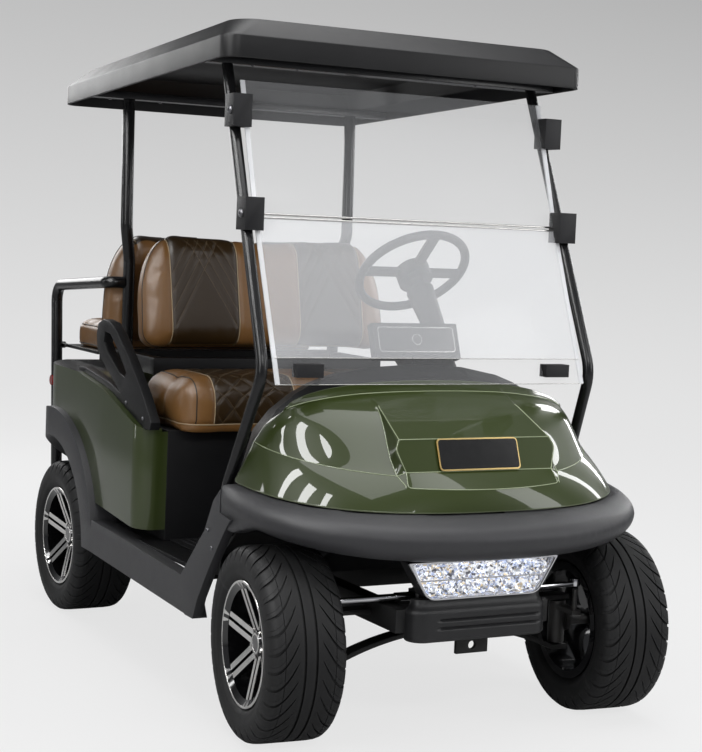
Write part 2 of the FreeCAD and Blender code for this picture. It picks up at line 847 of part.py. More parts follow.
for start, level in ((station(s.sill_front), sill_end_low), (rear_axle, s.body_low + s.leaf_thick)):
    band = band.cut(side_plate([
        (start, 0), (rear_axle + s.wheelbase, 0), (rear_axle + s.wheelbase, level), (start, level),
    ], 0, wide))
body_shell = body_outer.cut([body_inner, arch, mirrored(arch), seat_hole, cushion_hole,
                             band, mirrored(band)])
shaped("rear_body", max(body_shell.Solids, key=lambda solid: solid.Volume))

# Side trims: one charcoal moulding a side, from the front wheel's arch along the sill to the rear arch.
sill_top = s.sill_low + s.sill_height
sill = side_plate([
    (station(s.sill_front), s.sill_low),
    (station(s.sill_rear), sill_end_low),
    (station(s.sill_rear) - s.trim_proud, sill_top + s.sill_rise),
    (station(s.sill_front) + s.beam_width, sill_top),
], trim_half - s.sill_depth, trim_half)
sill = sill.cut(side_plate([
    (front_axle, s.sill_low - 1), (rear_axle, s.sill_low - 1),
    (rear_axle, floor_top + 1), (front_axle, floor_top + 1),
], 0, s.floor_half + s.seat_gap))
leg_top = s.cowl_side_low - s.bumper_side_height + s.seat_gap / 2
leg = side_plate([
    (station(120), leg_top - 9),
    (station(160), leg_top - 51),
    (station(250), leg_top - 161),
    (station(325), s.sill_low + 63),
    (station(s.sill_front), s.sill_low),
    (station(s.sill_front) + s.beam_width, s.sill_low),
    (station(s.sill_front) + s.fender_width, sill_top),
    (station(290), leg_top - 64),
    (station(235), leg_top + 28),
    (station(s.cowl_side) + 1, leg_top + 64),
    (station(s.cowl_side) + 1, leg_top),
], trim_half - s.leg_depth, trim_half)
side_trim = leg.fuse([sill, band])
shaped("side_trims", Part.makeCompound([side_trim, mirrored(side_trim)]))


def cowl_surface(inset):
    """The cowl between its lip, its shoulder crease, its brow and its rear edge."""
    rows = [
        [lip_point(share, inset) for share in SHARES],
        [contour(share, s.shoulder_half - inset, inset - s.shoulder_reach, s.cowl_side - s.wall,
                 s.shoulder_low, s.shoulder_side, 1.0) for share in SHARES],
        [contour(share, s.brow_half - inset, inset - s.brow_reach, s.cowl_side - s.trim_proud,
                 s.brow_height - inset, s.brow_side - inset, 0.95) for share in SHARES],
        [contour(share, s.cowl_top_half - inset, s.cowl_back, s.cowl_back,
                 s.cowl_top - inset, s.cowl_top_side - inset, 0.9) for share in SHARES],
    ]
    surface = Part.BSplineSurface()
    surface.interpolate(rows)
    return surface.toShape()


def closed_between(outer, inner):
    """A solid wall between two like surfaces."""
    faces = [outer, inner]
    for outer_edge, inner_edge in zip(outer.Edges, inner.Edges):
        faces.append(Part.makeRuledSurface(outer_edge, inner_edge))
    shell = Part.Shell(Part.makeCompound(faces).Faces)
    shell.sewShape()
    solid = Part.Solid(Part.Shell(shell.Faces))
    solid.fix(0.01, 0.01, 0.01)
    return solid


# Front cowl: the green nose with a raised panel at its middle.
panel_line = [
    (station(s.trim_proud), s.panel_top),
    (station(-s.panel_crest), s.panel_high),
    (station(-s.panel_lean), s.panel_foot),
    (station(-s.panel_chin), s.panel_chin_height),
    (station(-s.panel_chin) - s.leaf_thick, s.panel_low),
]
panel_strip = side_plate(panel_line + [(y + wall, z - wall) for y, z in panel_line[::-1]],
                         -s.panel_half, s.panel_half)
cheek = side_plate(panel_line + [(y + s.rail_width, z - wall) for y, z in panel_line[::-1]],
                   s.panel_half - s.shell_wall, s.panel_half)
panel_ledge = side_plate([
    (station(s.trim_proud), s.panel_top),
    (station(s.trim_proud) + s.leaf_thick, s.panel_top + s.leaf_thick / 2),
    (station(s.trim_proud) + s.leaf_thick, s.panel_top - s.leaf_thick),
    (station(s.trim_proud) - s.leaf_thick, s.panel_top - s.leaf_thick * 1.5),
], -s.panel_half, s.panel_half)
window_half = s.panel_half - s.shell_wall
window = side_plate([
    (station(s.trim_proud), s.panel_top),
    (station(-s.nose_reach), s.panel_top),
    (station(-s.nose_reach), s.panel_low + s.wall),
    (station(s.trim_proud), s.panel_low + s.wall),
], -window_half, window_half)
dome = closed_between(cowl_surface(0.0), cowl_surface(wall)).cut(window)
cowl_shape = dome.fuse([panel_strip, panel_ledge, cheek, mirrored(cheek)])
shaped("front_cowl", max(cowl_shape.Solids, key=lambda solid: solid.Volume))

# Front bumper: a fat charcoal roll below the cowl's lip, thinner towards the wheels.
BUMPER_SECTION = [(-6, 0, 0), (0, 0.30, -8), (0, 0.80, -30), (0, 1.00, -58), (0, 0.90, -90),
                  (0, 0.55, -118), (0, 0.10, -126), (0, -0.25, -112), (0, -0.25, -12)]


def bumper_ring(share):
    """The bumper's outline at one place on the cowl's lip."""
    step = 0.5 / ROW_STEPS
    before, after = lip_point(max(share - step, -1.0)), lip_point(min(share + step, 1.0))
    along = (after - before).normalize()
    outward = FreeCAD.Vector(along.y, -along.x, 0).normalize()
    spread = math.cos(share * math.pi / 2)
    depth = s.bumper_side_depth + (s.bumper_depth - s.bumper_side_depth) * spread
    height = s.bumper_side_height + (s.bumper_height - s.bumper_side_height) * spread
    shrink = float(height / s.bumper_height)
    top = lip_point(share) - spot(0, 0, s.seat_gap)
    ring = [top + outward * (fixed + part * float(depth)) + spot(0, 0, fall * shrink)
            for fixed, part, fall in BUMPER_SECTION]
    return Part.makePolygon(ring + ring[:1])


roll = Part.makeLoft([bumper_ring(share) for share in SHARES], True, False)
shaped("front_bumper", roll)

# Nose fascia and lamp bar below the bumper.
fascia_half, fascia_depth = s.rail_inset, s.rail_width
lamp_low = s.rack_height + s.flange_thick + 1
node(block((-fascia_half, fascia_half), (rail_front - fascia_depth, rail_front - s.seat_gap),
           (s.rail_low - s.trim_proud, lamp_low - s.seat_gap)), "lower_fascia")
lamp = doc.addObject("Part::Wedge", "lamp")
lamp_height = s.cowl_low - s.bumper_height - s.wall - lamp_low
LAMP_SHAPE = {"Xmin": -s.panel_half * 0.73, "Xmax": s.panel_half * 0.73, "X2min": -s.panel_half,
              "X2max": s.panel_half, "Ymin": 0, "Ymax": lamp_height, "Zmin": 0, "Zmax": s.beam_width,
              "Z2min": 0, "Z2max": s.beam_width}
for key, size in LAMP_SHAPE.items():
    bind(lamp, key, size)
place(lamp, 0, station(-s.rail_front) + s.leaf_thick / 2, lamp_low, axis=(1, 0, 0), angle=90)
node(lamp, "headlamp_bar")

# Dash: a black hood behind the cowl, with a panel beside the steering wheel.
DASH_FRONT = [(400, 640), (420, 800), (405, 855), (360, 889), (300, 915), (240, 932), (140, 945), (0, 950)]
DASH_BROW = [(490, 640), (470, 800), (440, 858), (380, 904), (326, 932), (268, 953), (148, 976), (0, 983)]
DASH_BACK = [(480, 640), (440, 790), (393, 847), (331, 893), (276, 922), (216, 944), (155, 958), (0, 973)]
DASH_REAR = [(475, 640), (430, 785), (383, 840), (322, 885), (268, 914), (209, 936), (150, 950), (0, 964)]


def dash_ring(points, y, inset):
    """An outline across the cart; the points are one half of it."""
    scale = 1 - inset / float(s.brow_half)
    half = [(x * scale, max(z - inset, float(s.dash_low) - inset)) for x, z in points]
    whole = half + [(-x, z) for x, z in half[-2::-1]]
    return Part.makePolygon([spot(x, y, z) for x, z in whole + whole[:1]])


def dash_solid(inset):
    return Part.makeLoft([
        dash_ring(DASH_FRONT, station(s.cowl_back) + s.seat_gap - inset, inset),
        dash_ring(DASH_BROW, station(s.cowl_side + s.rack_radius), inset),
        dash_ring(DASH_BACK, station(s.dash_rear - s.sill_depth), inset),
        dash_ring(DASH_REAR, station(s.dash_rear) - inset, inset),
    ], True, True)


dash_outer = dash_solid(0.0)
wheel_y = station(s.steering_station)
wheel_height = s.cowl_top + s.steering_rise
axis_y, axis_z = sine(s.column_lean), cosine(s.column_lean)
column_hole = Part.makeCylinder(
    float(s.column_radius + s.seat_gap), float(s.column_length + s.column_back) + 100,
    spot(s.driver_offset, wheel_y, wheel_height), spot(0, -axis_y, -axis_z))
panel_left = s.driver_offset + 2
panel_right = -s.sleeve_height / 4
panel = Part.makeBox(float(panel_left - panel_right), 30, 110)
panel.Placement = FreeCAD.Placement(spot(panel_right, station(s.dash_rear) + 20, s.cowl_top + 40),
                                    FreeCAD.Rotation(FreeCAD.Vector(1, 0, 0), -20))
stalk = Part.makeBox(140, 90, 85, spot(60, station(s.dash_rear) - 40, s.cowl_top - 30))
dash_shape = dash_outer.fuse([panel, stalk]).cut([dash_solid(float(s.dash_wall)), column_hole])
shaped("dash_pad", dash_shape)

# Steering column from the floor to the wheel, and the wheel itself.
shroud = doc.addObject("Part::Cone", "shroud")
bind(shroud, "Radius1", s.axle_radius)
bind(shroud, "Radius2", s.axle_radius + s.rack_radius)
bind(shroud, "Height", s.kingpin_inset * 1.57)
shroud_back = s.kingpin_inset * 2.19
place(shroud, s.driver_offset, wheel_y - shroud_back * axis_y, wheel_height - shroud_back * axis_z,
      axis=(1, 0, 0), angle=-s.column_lean)
shaft_tube = doc.addObject("Part::Cylinder", "tube")
bind(shaft_tube, "Radius", s.column_radius)
bind(shaft_tube, "Height", s.column_length)
tube_back = s.column_length + s.column_back
place(shaft_tube, s.driver_offset, wheel_y - tube_back * axis_y, wheel_height - tube_back * axis_z,
      axis=(1, 0, 0), angle=-s.column_lean)
node(joined_shapes([shroud, shaft_tube]), "steering_column")
grip = doc.addObject("Part::Torus", "grip")
bind(grip, "Radius1", s.wheel_rim_radius)
bind(grip, "Radius2", s.wheel_grip_radius)
hub = rod("Z", 55, 50, (0, 0, -40))
neck = rod("Z", 24, 40, (0, 0, -74.7))
spokes = []
for angle in (0, 180, 270):
    bar = doc.addObject("Part::Box", "bar")
    bind(bar, "Length", s.wheel_rim_radius - s.column_radius)
    bar.Width = 34
    bar.Height = 12
    turn = FreeCAD.Rotation(FreeCAD.Vector(0, 0, 1), angle)
    bar.Placement = FreeCAD.Placement(turn.multVec(FreeCAD.Vector(20, -17, -10)), turn)
    spokes.append(bar)
wheel = joined_shapes([grip, hub, neck] + spokes)
place(wheel, s.driver_offset, wheel_y, wheel_height, axis=(1, 0, 0), angle=-s.column_lean)
node(wheel, "steering_wheel")

# Pedals on the toe board.
pedals = []
bar_low = floor_top + s.leaf_rise
bar_start = toe_top + (s.toe_high - bar_low) * (s.floor_front - s.beam_width) / (s.toe_high - floor_top)
for x, pad_half in ((sized(190), sized(55)), (sized(85), sized(35))):
    pedals.append(block((x - pad_half, x + pad_half),
                        (station(s.pedal_station), station(s.pedal_station) + 18),
                        (floor_top + s.beam_width, floor_top + s.beam_width + s.fender_depth)))
    pedals.append(block((x - s.flange_thick, x + s.flange_thick),
                        (bar_start + s.seat_gap * 2, station(s.pedal_station) + s.wall),
                        (bar_low, bar_low + s.column_radius)))
node(joined_shapes(pedals), "pedals")


# Windshield: two clear sheets, one above the other, hinged to fold.
def glass(label, low, high):
    """A clear sheet from its lower edge to its upper edge, both given as Y and Z."""
    rise, run = float(high[1] - low[1]), float(high[0] - low[0])
    length = math.hypot(rise, run)
    piece = shaped(label, Part.makeBox(float(2 * s.glass_half), float(s.glass_thick),
                                       length - float(s.flange_thick)))
    turn = FreeCAD.Rotation(FreeCAD.Vector(1, 0, 0), -math.degrees(math.atan2(run, rise)))
    piece.Placement = FreeCAD.Placement(spot(-s.glass_half, *low), turn)
    return piece


glass_foot = (station(s.glass_foot), s.glass_low)
glass_hinge = (station(s.hinge_station), s.hinge_height)
glass_head = (station(s.glass_head), s.glass_high)
panes = [glass("windshield_lower", glass_foot, glass_hinge),
         glass("windshield_upper", glass_hinge, glass_head)]

# Roof struts. The front pair bend at the windshield's foot, the rear pair behind the backrests.
roof_slope = (s.roof_low_front - s.roof_low_rear) / (s.roof_rear - s.roof_front)


def roof_under(size):
    """Height of the roof's lower edge at a station."""
    return s.roof_low_front - roof_slope * (size - s.roof_front)


def flat_topped(tube, size):
    """A strut cut level just below its roof bracket."""
    top = float(roof_under(size) + bar_rise - s.seat_gap)
    return tube.cut(Part.makeBox(1200, 200, 100, spot(-600, station(size) - 100, top)))


front_bar = s.roof_front + 175
bar_rise = 4
strut_over = s.rack_radius
strut_x = trim_half - s.leg_depth - s.strut_radius - s.seat_gap
front_tube = bent_tube([
    spot(strut_x, station(310), 450),
    spot(strut_x, station(240), 655),
    spot(530, station(s.strut_elbow), s.strut_elbow_height),
    spot(s.strut_top_half, station(front_bar), roof_under(front_bar) + strut_over),
], [120, 110], s.strut_radius)
front_tube = flat_topped(front_tube, front_bar)
rear_tube = bent_tube([
    spot(s.rear_strut_top_half, station(s.rear_strut_top), roof_under(s.rear_strut_top) + strut_over),
    spot(s.rear_strut_top_half, station(s.rear_strut_top) - 12, 1340),
    spot(s.rear_strut_half, station(s.rear_strut_station), 1230),
    spot(s.rear_strut_half, station(s.rear_strut_station), body_high + 2),
], [90, 90], s.rear_strut_radius)
rear_tube = flat_topped(rear_tube, s.rear_strut_top)
tubes = [front_tube, rear_tube]
shaped("roof_struts", Part.makeCompound(tubes + [mirrored(tube) for tube in tubes]))
fittings = []
for y, z in ((s.hinge_station - 12, s.hinge_height), (s.glass_head - 32, s.glass_high - 95)):
    clamp = Part.makeBox(56, 60, 90, spot(486, station(y) - 28, z - 45))
    clamp = clamp.cut([front_tube, panes[0].Shape, panes[1].Shape])
    fittings += [clamp, mirrored(clamp)]
latch = Part.makeBox(78, 36, 36, spot(361, station(s.glass_foot) - 8, s.glass_low + 19))
latch = latch.cut(panes[0].Shape)
fittings += [latch, mirrored(latch)]
shaped("windshield_fittings", Part.makeCompound(fittings))


# Roof: a moulded cover with an upright skirt and a sloping shoulder below a flat crown.
def roof_half_at(size):
    """Half the roof's width at a station."""
    share = (size - s.roof_front) / (s.roof_rear - s.roof_front)
    return s.roof_half_front + share * (s.roof_half_rear - s.roof_half_front)


def roof_ring(inset, height):
    """A rounded outline of the roof at a height above its lower edge."""
    front, rear = station(s.roof_front) + inset, station(s.roof_rear) - inset
    low_front, low_rear = s.roof_low_front + height, s.roof_low_rear + height
    corners = [(s.roof_half_front - inset, front, low_front), (s.roof_half_rear - inset, rear, low_rear),
               (inset - s.roof_half_rear, rear, low_rear), (inset - s.roof_half_front, front, low_front)]
    middle = spot(0, front, low_front)
    round_off = float(s.roof_corner) + float(inset) / 2
    return tangent_path([middle] + [spot(*corner) for corner in corners] + [middle], [round_off] * 4)


def roof_solid(shrink):
    top = s.roof_skirt + s.roof_shoulder
    return Part.makeLoft([
        roof_ring(sized(shrink), sized(-shrink * 2)),
        roof_ring(sized(shrink), s.roof_skirt - shrink),
        roof_ring(s.roof_inset + shrink, top - shrink),
        roof_ring(s.roof_inset * 3 + shrink, top + s.roof_crown - shrink),
    ], True, True)


shaped("roof", roof_solid(0.0).cut(roof_solid(float(s.roof_wall))))
roof_bars = []
for size in (front_bar, s.rear_strut_top):
    level = roof_under(size) + bar_rise
    half_bar = roof_half_at(size + s.beam_width / 2) - s.roof_wall - s.seat_gap
    roof_bars.append(block((-half_bar, half_bar),
                           (station(size) - s.beam_width / 2, station(size) + s.beam_width / 2),
                           (level, level + s.leaf_thick)))
node(joined_shapes(roof_bars), "roof_brackets")


def rounded(thing, radius, keep):
    """Rounds those edges of a solid object whose middle and direction pass a test."""
    doc.recompute()
    smooth = doc.addObject("Part::Fillet", "rounded")
    smooth.Base = thing
    smooth.Edges = [(number, float(radius), float(radius))
                    for number, edge in enumerate(thing.Shape.Edges, start=1) if keep(edge, thing)]
    return smooth


def not_below(edge, thing):
    return edge.CenterOfMass.z > thing.Shape.BoundBox.ZMin + 1


def not_behind(edge, thing):
    return edge.CenterOfMass.y < thing.Shape.BoundBox.YMax - 1


# Front bench.
cushion = block((-s.cushion_half, s.cushion_half), (station(s.cushion_front), station(s.cushion_rear)),
                (cushion_low, cushion_low + s.cushion_thick))
node(rounded(cushion, s.cushion_round, not_below), "seat_cushion")


def backrest(label, y, z, lean, facing):
    """A padded back that leans by an angle, with its rounded face to the front or the rear."""
    pad = block((sized(0), 2 * s.back_half), (sized(0), s.back_thick), (sized(0), s.back_height))
    pad_round = s.back_thick * 0.45
    smooth = rounded(pad, pad_round, lambda edge, thing: (
        edge.CenterOfMass.z > 1 and (edge.CenterOfMass.y < 1) == (facing < 0)
        and abs(edge.CenterOfMass.y - float(s.back_thick) / 2) > 1))
    place(smooth, -s.back_half, y, z, axis=(1, 0, 0), angle=lean)
    return node(smooth, label)


backrest("seat_backrest", station(s.back_station), s.back_low + s.back_thick * sine(s.back_lean),
         -s.back_lean, -1)
backrest("rear_backrest", station(s.rear_back_station), s.back_low, s.rear_back_lean, 1)
rail_top = s.back_low - s.seat_gap
strut_front = station(s.rear_strut_station) - s.rear_strut_radius - s.seat_gap
strut_rear = station(s.rear_strut_station) + s.rear_strut_radius + s.seat_gap
cross_half = s.rear_strut_top_half
rails = [
    block((-cross_half, cross_half), (station(s.back_station) + s.wall, station(s.back_station) + s.rail_width),
          (rail_top - s.back_rail, rail_top)),
    block((-cross_half, cross_half), (strut_rear, station(s.rear_back_station) + s.beam_width),
          (rail_top - s.back_rail, rail_top)),
]
arm_low = body_high + s.flange_thick + s.moving_gap
deck_low = s.rear_cushion_low - s.deck_thick - s.seat_gap
for side in (1, -1):
    centre = s.rear_strut_half * side
    sides = (centre - s.column_radius, centre + s.column_radius)
    rails.append(block(sides, (station(s.back_station) + s.rail_width / 2, strut_front),
                       (rail_top - s.back_rail, rail_top)))
    rails.append(block(sides, (strut_rear, station(s.rear_cushion_front) + s.rail_width),
                       (arm_low, deck_low - s.seat_gap)))
    rails.append(block(sides, (strut_rear, station(s.rear_back_station) + s.wall),
                       (arm_low, rail_top)))
node(joined_shapes(rails), "backrest_rail")

# Rear bench: a cushion on a deck that flips over to the rear.
rear_cushion_back = s.rear_cushion_front + s.rear_cushion_depth
rear_pad = block((-s.rear_cushion_half, s.rear_cushion_half),
                 (station(s.rear_cushion_front), station(rear_cushion_back)),
                 (s.rear_cushion_low, s.rear_cushion_low + s.rear_cushion_thick))
node(rounded(rear_pad, s.rear_cushion_round, not_below), "rear_cushion")
hinge_y = station(rear_cushion_back) + s.hinge_setback
hinge_z = deck_low + s.deck_thick / 2
deck_parts = [block((-s.rear_cushion_half, s.rear_cushion_half),
                    (station(s.rear_cushion_front), station(rear_cushion_back)),
                    (deck_low, deck_low + s.deck_thick))]
eye_wide = s.strut_radius
eye_start = s.rear_cushion_half - s.strut_radius / 2
for side in (1, -1):
    low = eye_start if side > 0 else -eye_start - eye_wide
    deck_parts.append(block((low, low + eye_wide), (station(rear_cushion_back) - s.wall, hinge_y),
                            (deck_low, deck_low + s.deck_thick)))
    deck_parts.append(rod("X", s.rack_radius, eye_wide, (low, hinge_y, hinge_z)))
pin_radius = s.flange_thick
node(cut_away(joined_shapes(deck_parts),
              rod("X", pin_radius + s.running_gap, 2 * s.cushion_half,
                  (-s.cushion_half, hinge_y, hinge_z))), "flip_deck")

# Guard rails beside the rear bench, and hip restraints beside the front one.
guard_front = station(s.guard_front)
guard = bent_tube([
    spot(s.rear_strut_half + s.rear_strut_radius + s.seat_gap, guard_front, s.guard_top + 17),
    spot(s.guard_half, guard_front, s.guard_top + 17),
    spot(s.guard_half, station(2050), s.guard_top - 17),
    spot(s.guard_half, station(1995), rail_high + s.moving_gap),
], [30, 60], s.guard_radius)
hinge_pin = Part.makeCylinder(float(pin_radius), float(s.guard_half - eye_start) + 2,
                              spot(eye_start - 2, hinge_y, hinge_z), FreeCAD.Vector(1, 0, 0))
plate_rear = station(s.wheelbase + s.tail_reach)
plate_front = plate_rear - s.plate_depth
lip_rear = plate_front + s.column_radius
cross_tube = Part.makeCylinder(float(s.rack_radius), float(2 * s.guard_half),
                               spot(-s.guard_half, lip_rear + s.seat_gap + s.rack_radius,
                                    rail_high + 40), FreeCAD.Vector(1, 0, 0))
guard = guard.fuse(hinge_pin)
shaped("guard_rails", guard.fuse([mirrored(guard), cross_tube]))
HIP_OUTLINE = [(1336, 983), (1322, 1022), (1272, 1039), (1200, 1032), (1138, 1004), (1022, 926),
               (900, 829), (822, 752), (830, 728), (868, 728), (885, 733), (1057, 796), (1250, 891),
               (1322, 934)]
HIP_HOLE = [(1255, 1000), (1205, 995), (1130, 950), (1050, 885), (1060, 868), (1110, 878),
            (1230, 938), (1262, 965)]
HIP_BASE = [(872, 724.2), (1195, 815.9), (1453, 852.3), (1500, 853), (1500, 866), (1440, 868),
            (1190, 837), (1050, 805), (872, 742)]


def hip_plate(outline, more):
    return side_plate([(station(y), z) for y, z in outline], hip_low - more, hip_high + more)


hip_low = s.back_half + s.leaf_rise + 3
hip_high = hip_low + s.axle_radius
hip = hip_plate(HIP_OUTLINE, 0).cut(hip_plate(HIP_HOLE, 1)).fuse(hip_plate(HIP_BASE, 0))
shaped("hip_restraints", Part.makeCompound([hip, mirrored(hip)]))

# Footplate for the rear bench, on the frame rails.
plate_low = rail_high + s.seat_gap
foot_parts = [block((-s.plate_half, s.plate_half), (plate_front, plate_rear),
                    (plate_low, plate_low + s.plate_thick)),
              block((-s.plate_half, s.plate_half), (plate_front, lip_rear),
                    (plate_low, plate_low + s.fender_depth))]
node(joined_shapes(foot_parts), "footplate")

# Tail lamps on the back of the body.
lamp_block = Part.makeBox(110, 60, 60, spot(370, station(s.body_rear) - 50, s.base_top - s.axle_radius))
lamp_block = lamp_block.cut(body_outer)
shaped("tail_lamps", Part.makeCompound([lamp_block, mirrored(lamp_block)]))

doc.recompute()

failed = [thing.Name for thing in doc.Objects if {"Invalid", "Error"} & set(thing.State)]
for label, thing in NODES.items():
    if thing.Shape.isNull() or not thing.Shape.isValid() or not thing.Shape.Solids:
        failed.append(label)
if failed:
    raise SystemExit("failed: " + ", ".join(failed))

os.makedirs("parts", exist_ok=True)
for label, thing in NODES.items():
    thing.Shape.exportStep(f"parts/{label}.step")
print(len(NODES), "pieces")
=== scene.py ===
"""Golf cart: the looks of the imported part, built piece by piece in metres in the part's own frame."""
import json
import math

import bmesh
import bpy
import numpy as np
from mathutils import Matrix, Vector
from mathutils.bvhtree import BVHTree

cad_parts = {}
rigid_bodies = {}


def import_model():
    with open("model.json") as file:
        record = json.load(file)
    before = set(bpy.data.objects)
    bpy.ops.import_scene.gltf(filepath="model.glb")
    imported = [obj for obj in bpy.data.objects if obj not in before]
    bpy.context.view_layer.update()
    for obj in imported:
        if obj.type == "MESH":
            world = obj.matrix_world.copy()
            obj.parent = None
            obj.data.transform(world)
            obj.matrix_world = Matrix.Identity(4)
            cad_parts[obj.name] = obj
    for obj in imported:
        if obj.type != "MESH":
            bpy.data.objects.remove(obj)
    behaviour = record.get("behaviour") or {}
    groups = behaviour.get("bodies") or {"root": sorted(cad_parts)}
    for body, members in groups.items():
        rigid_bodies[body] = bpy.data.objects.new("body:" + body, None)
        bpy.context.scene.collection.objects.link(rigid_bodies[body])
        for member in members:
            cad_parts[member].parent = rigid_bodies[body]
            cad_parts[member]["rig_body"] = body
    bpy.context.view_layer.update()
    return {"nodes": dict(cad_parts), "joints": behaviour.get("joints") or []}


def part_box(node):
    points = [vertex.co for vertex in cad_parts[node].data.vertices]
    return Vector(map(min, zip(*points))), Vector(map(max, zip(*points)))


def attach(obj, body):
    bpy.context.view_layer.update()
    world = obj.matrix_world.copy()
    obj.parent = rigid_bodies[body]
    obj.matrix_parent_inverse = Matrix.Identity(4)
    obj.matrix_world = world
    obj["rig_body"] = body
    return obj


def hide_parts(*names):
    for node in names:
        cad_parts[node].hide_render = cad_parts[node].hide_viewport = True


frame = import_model()
scene = bpy.context.scene

# Studio: a pale sweep of floor and wall, soft boxes overhead, at both sides, before the nose and behind,
# and narrow upright strips that draw long bright streaks along the creases of the nose.


def linked(name, data):
    """An object for some data, put in the scene."""
    piece = bpy.data.objects.new(name, data)
    scene.collection.objects.link(piece)
    return piece


def fed(tree, node, inputs):
    """Gives a node's inputs their values, or the outputs that feed them."""
    for place, value in inputs.items():
        if isinstance(value, bpy.types.NodeSocket):
            tree.links.new(value, node.inputs[place])
        else:
            node.inputs[place].default_value = value
    return node


def node_in(tree, kind, inputs=None, **settings):
    """A node of a kind with its settings and its inputs."""
    node = tree.nodes.new(kind)
    for name, value in settings.items():
        setattr(node, name, value)
    return fed(tree, node, inputs or {})


def worked_out(tree, operation, *values):
    """The result of a sum that a tree works out from values or outputs."""
    return node_in(tree, "ShaderNodeMath", dict(enumerate(values)), operation=operation).outputs[0]


def blended(tree, share, first, second):
    """One colour fading into another by a share."""
    return node_in(tree, "ShaderNodeMix", {"Factor": share, 6: first, 7: second}, data_type="RGBA").outputs[2]


camera_data = bpy.data.cameras.new("studio_camera")
camera_data.lens = 81.28
camera_data.sensor_width = 36.0
camera = linked("studio_camera", camera_data)
CAMERA_AT = Vector((-2.432, -4.9675, 1.3362))
yaw, pitch, roll = math.radians(27.98), math.radians(-4.66), math.radians(2.37)
forward = Vector((math.sin(yaw) * math.cos(pitch), math.cos(yaw) * math.cos(pitch), math.sin(pitch)))
level_right = Vector((math.cos(yaw), -math.sin(yaw), 0))
level_up = level_right.cross(forward)
right = math.cos(roll) * level_right + math.sin(roll) * level_up
up = math.cos(roll) * level_up - math.sin(roll) * level_right
camera.matrix_world = Matrix.Translation(CAMERA_AT) @ Matrix((right, up, -forward)).transposed().to_4x4()
scene.camera = camera
scene.view_settings.view_transform = "Standard"

world = bpy.data.worlds.new("studio_air")
scene.world = world
world.use_nodes = True
air = world.node_tree
fill = fed(air, air.nodes["Background"], {"Color": (0.93, 0.95, 1.0, 1), "Strength": 0.24})
wall_tone = node_in(air, "ShaderNodeBackground", {"Color": (0.66, 0.66, 0.67, 1)})
looked_at = air.nodes.new("ShaderNodeLightPath").outputs["Is Camera Ray"]
air_mix = node_in(air, "ShaderNodeMixShader", {0: looked_at, 1: fill.outputs[0], 2: wall_tone.outputs[0]})
fed(air, air.nodes["World Output"], {"Surface": air_mix.outputs[0]})


def soft_box(name, place, target, size, power):
    """A rectangular lamp that faces a point."""
    lamp = bpy.data.lights.new(name, "AREA")
    lamp.shape = "RECTANGLE"
    lamp.size, lamp.size_y = size
    lamp.energy = power
    holder = linked(name, lamp)
    holder.location = place
    holder.rotation_mode = "QUATERNION"
    holder.rotation_quaternion = (Vector(target) - Vector(place)).to_track_quat("-Z", "Y")
    return holder


soft_box("top_box", (0.2, -0.6, 4.6), (0, 0, 0.6), (3.4, 4.4), 150)
soft_box("left_box", (-4.6, -3.4, 2.4), (0, -0.2, 0.8), (1.6, 2.2), 60)
soft_box("right_box", (3.6, -4.0, 2.3), (0, -0.6, 0.8), (1.4, 2.8), 60)
soft_box("nose_box", (-0.6, -5.6, 3.4), (0, -0.9, 0.7), (2.6, 0.5), 60)
soft_box("back_box", (-1.0, 4.8, 2.6), (0, 0.6, 0.9), (3.0, 1.8), 70)
for order, (x, y, z, wide, high, power) in enumerate((
        (-2.9, -0.10, 3.7, 0.30, 2.3, 44), (-3.0, -1.25, 3.6, 0.46, 2.3, 66),
        (-2.6, -2.35, 3.6, 0.30, 2.3, 44), (-4.4, 2.2, 1.9, 0.30, 2.8, 24),
        (4.2, 1.4, 2.4, 0.36, 2.4, 30), (4.6, -0.4, 2.6, 0.36, 2.4, 30))):
    strip = soft_box(f"streak_{order}", (x, y, z), (0, -0.9, 0.7), (wide, high), power)
    strip.visible_diffuse = False


def mesh_of(form, name):
    """The mesh of a finished form."""
    mesh = bpy.data.meshes.new(name)
    form.to_mesh(mesh)
    form.free()
    return mesh


def smoothed(mesh, angle=None):
    """Shades a mesh smoothly, with its edges kept crisp past an angle."""
    for face in mesh.polygons:
        face.use_smooth = True
    if angle:
        mesh.set_sharp_from_angle(angle=math.radians(angle))


def new_material(name):
    """A material with its shader, and the tree that holds it."""
    material = bpy.data.materials.new(name)
    material.use_nodes = True
    tree = material.node_tree
    return material, tree, tree.nodes["Principled BSDF"]


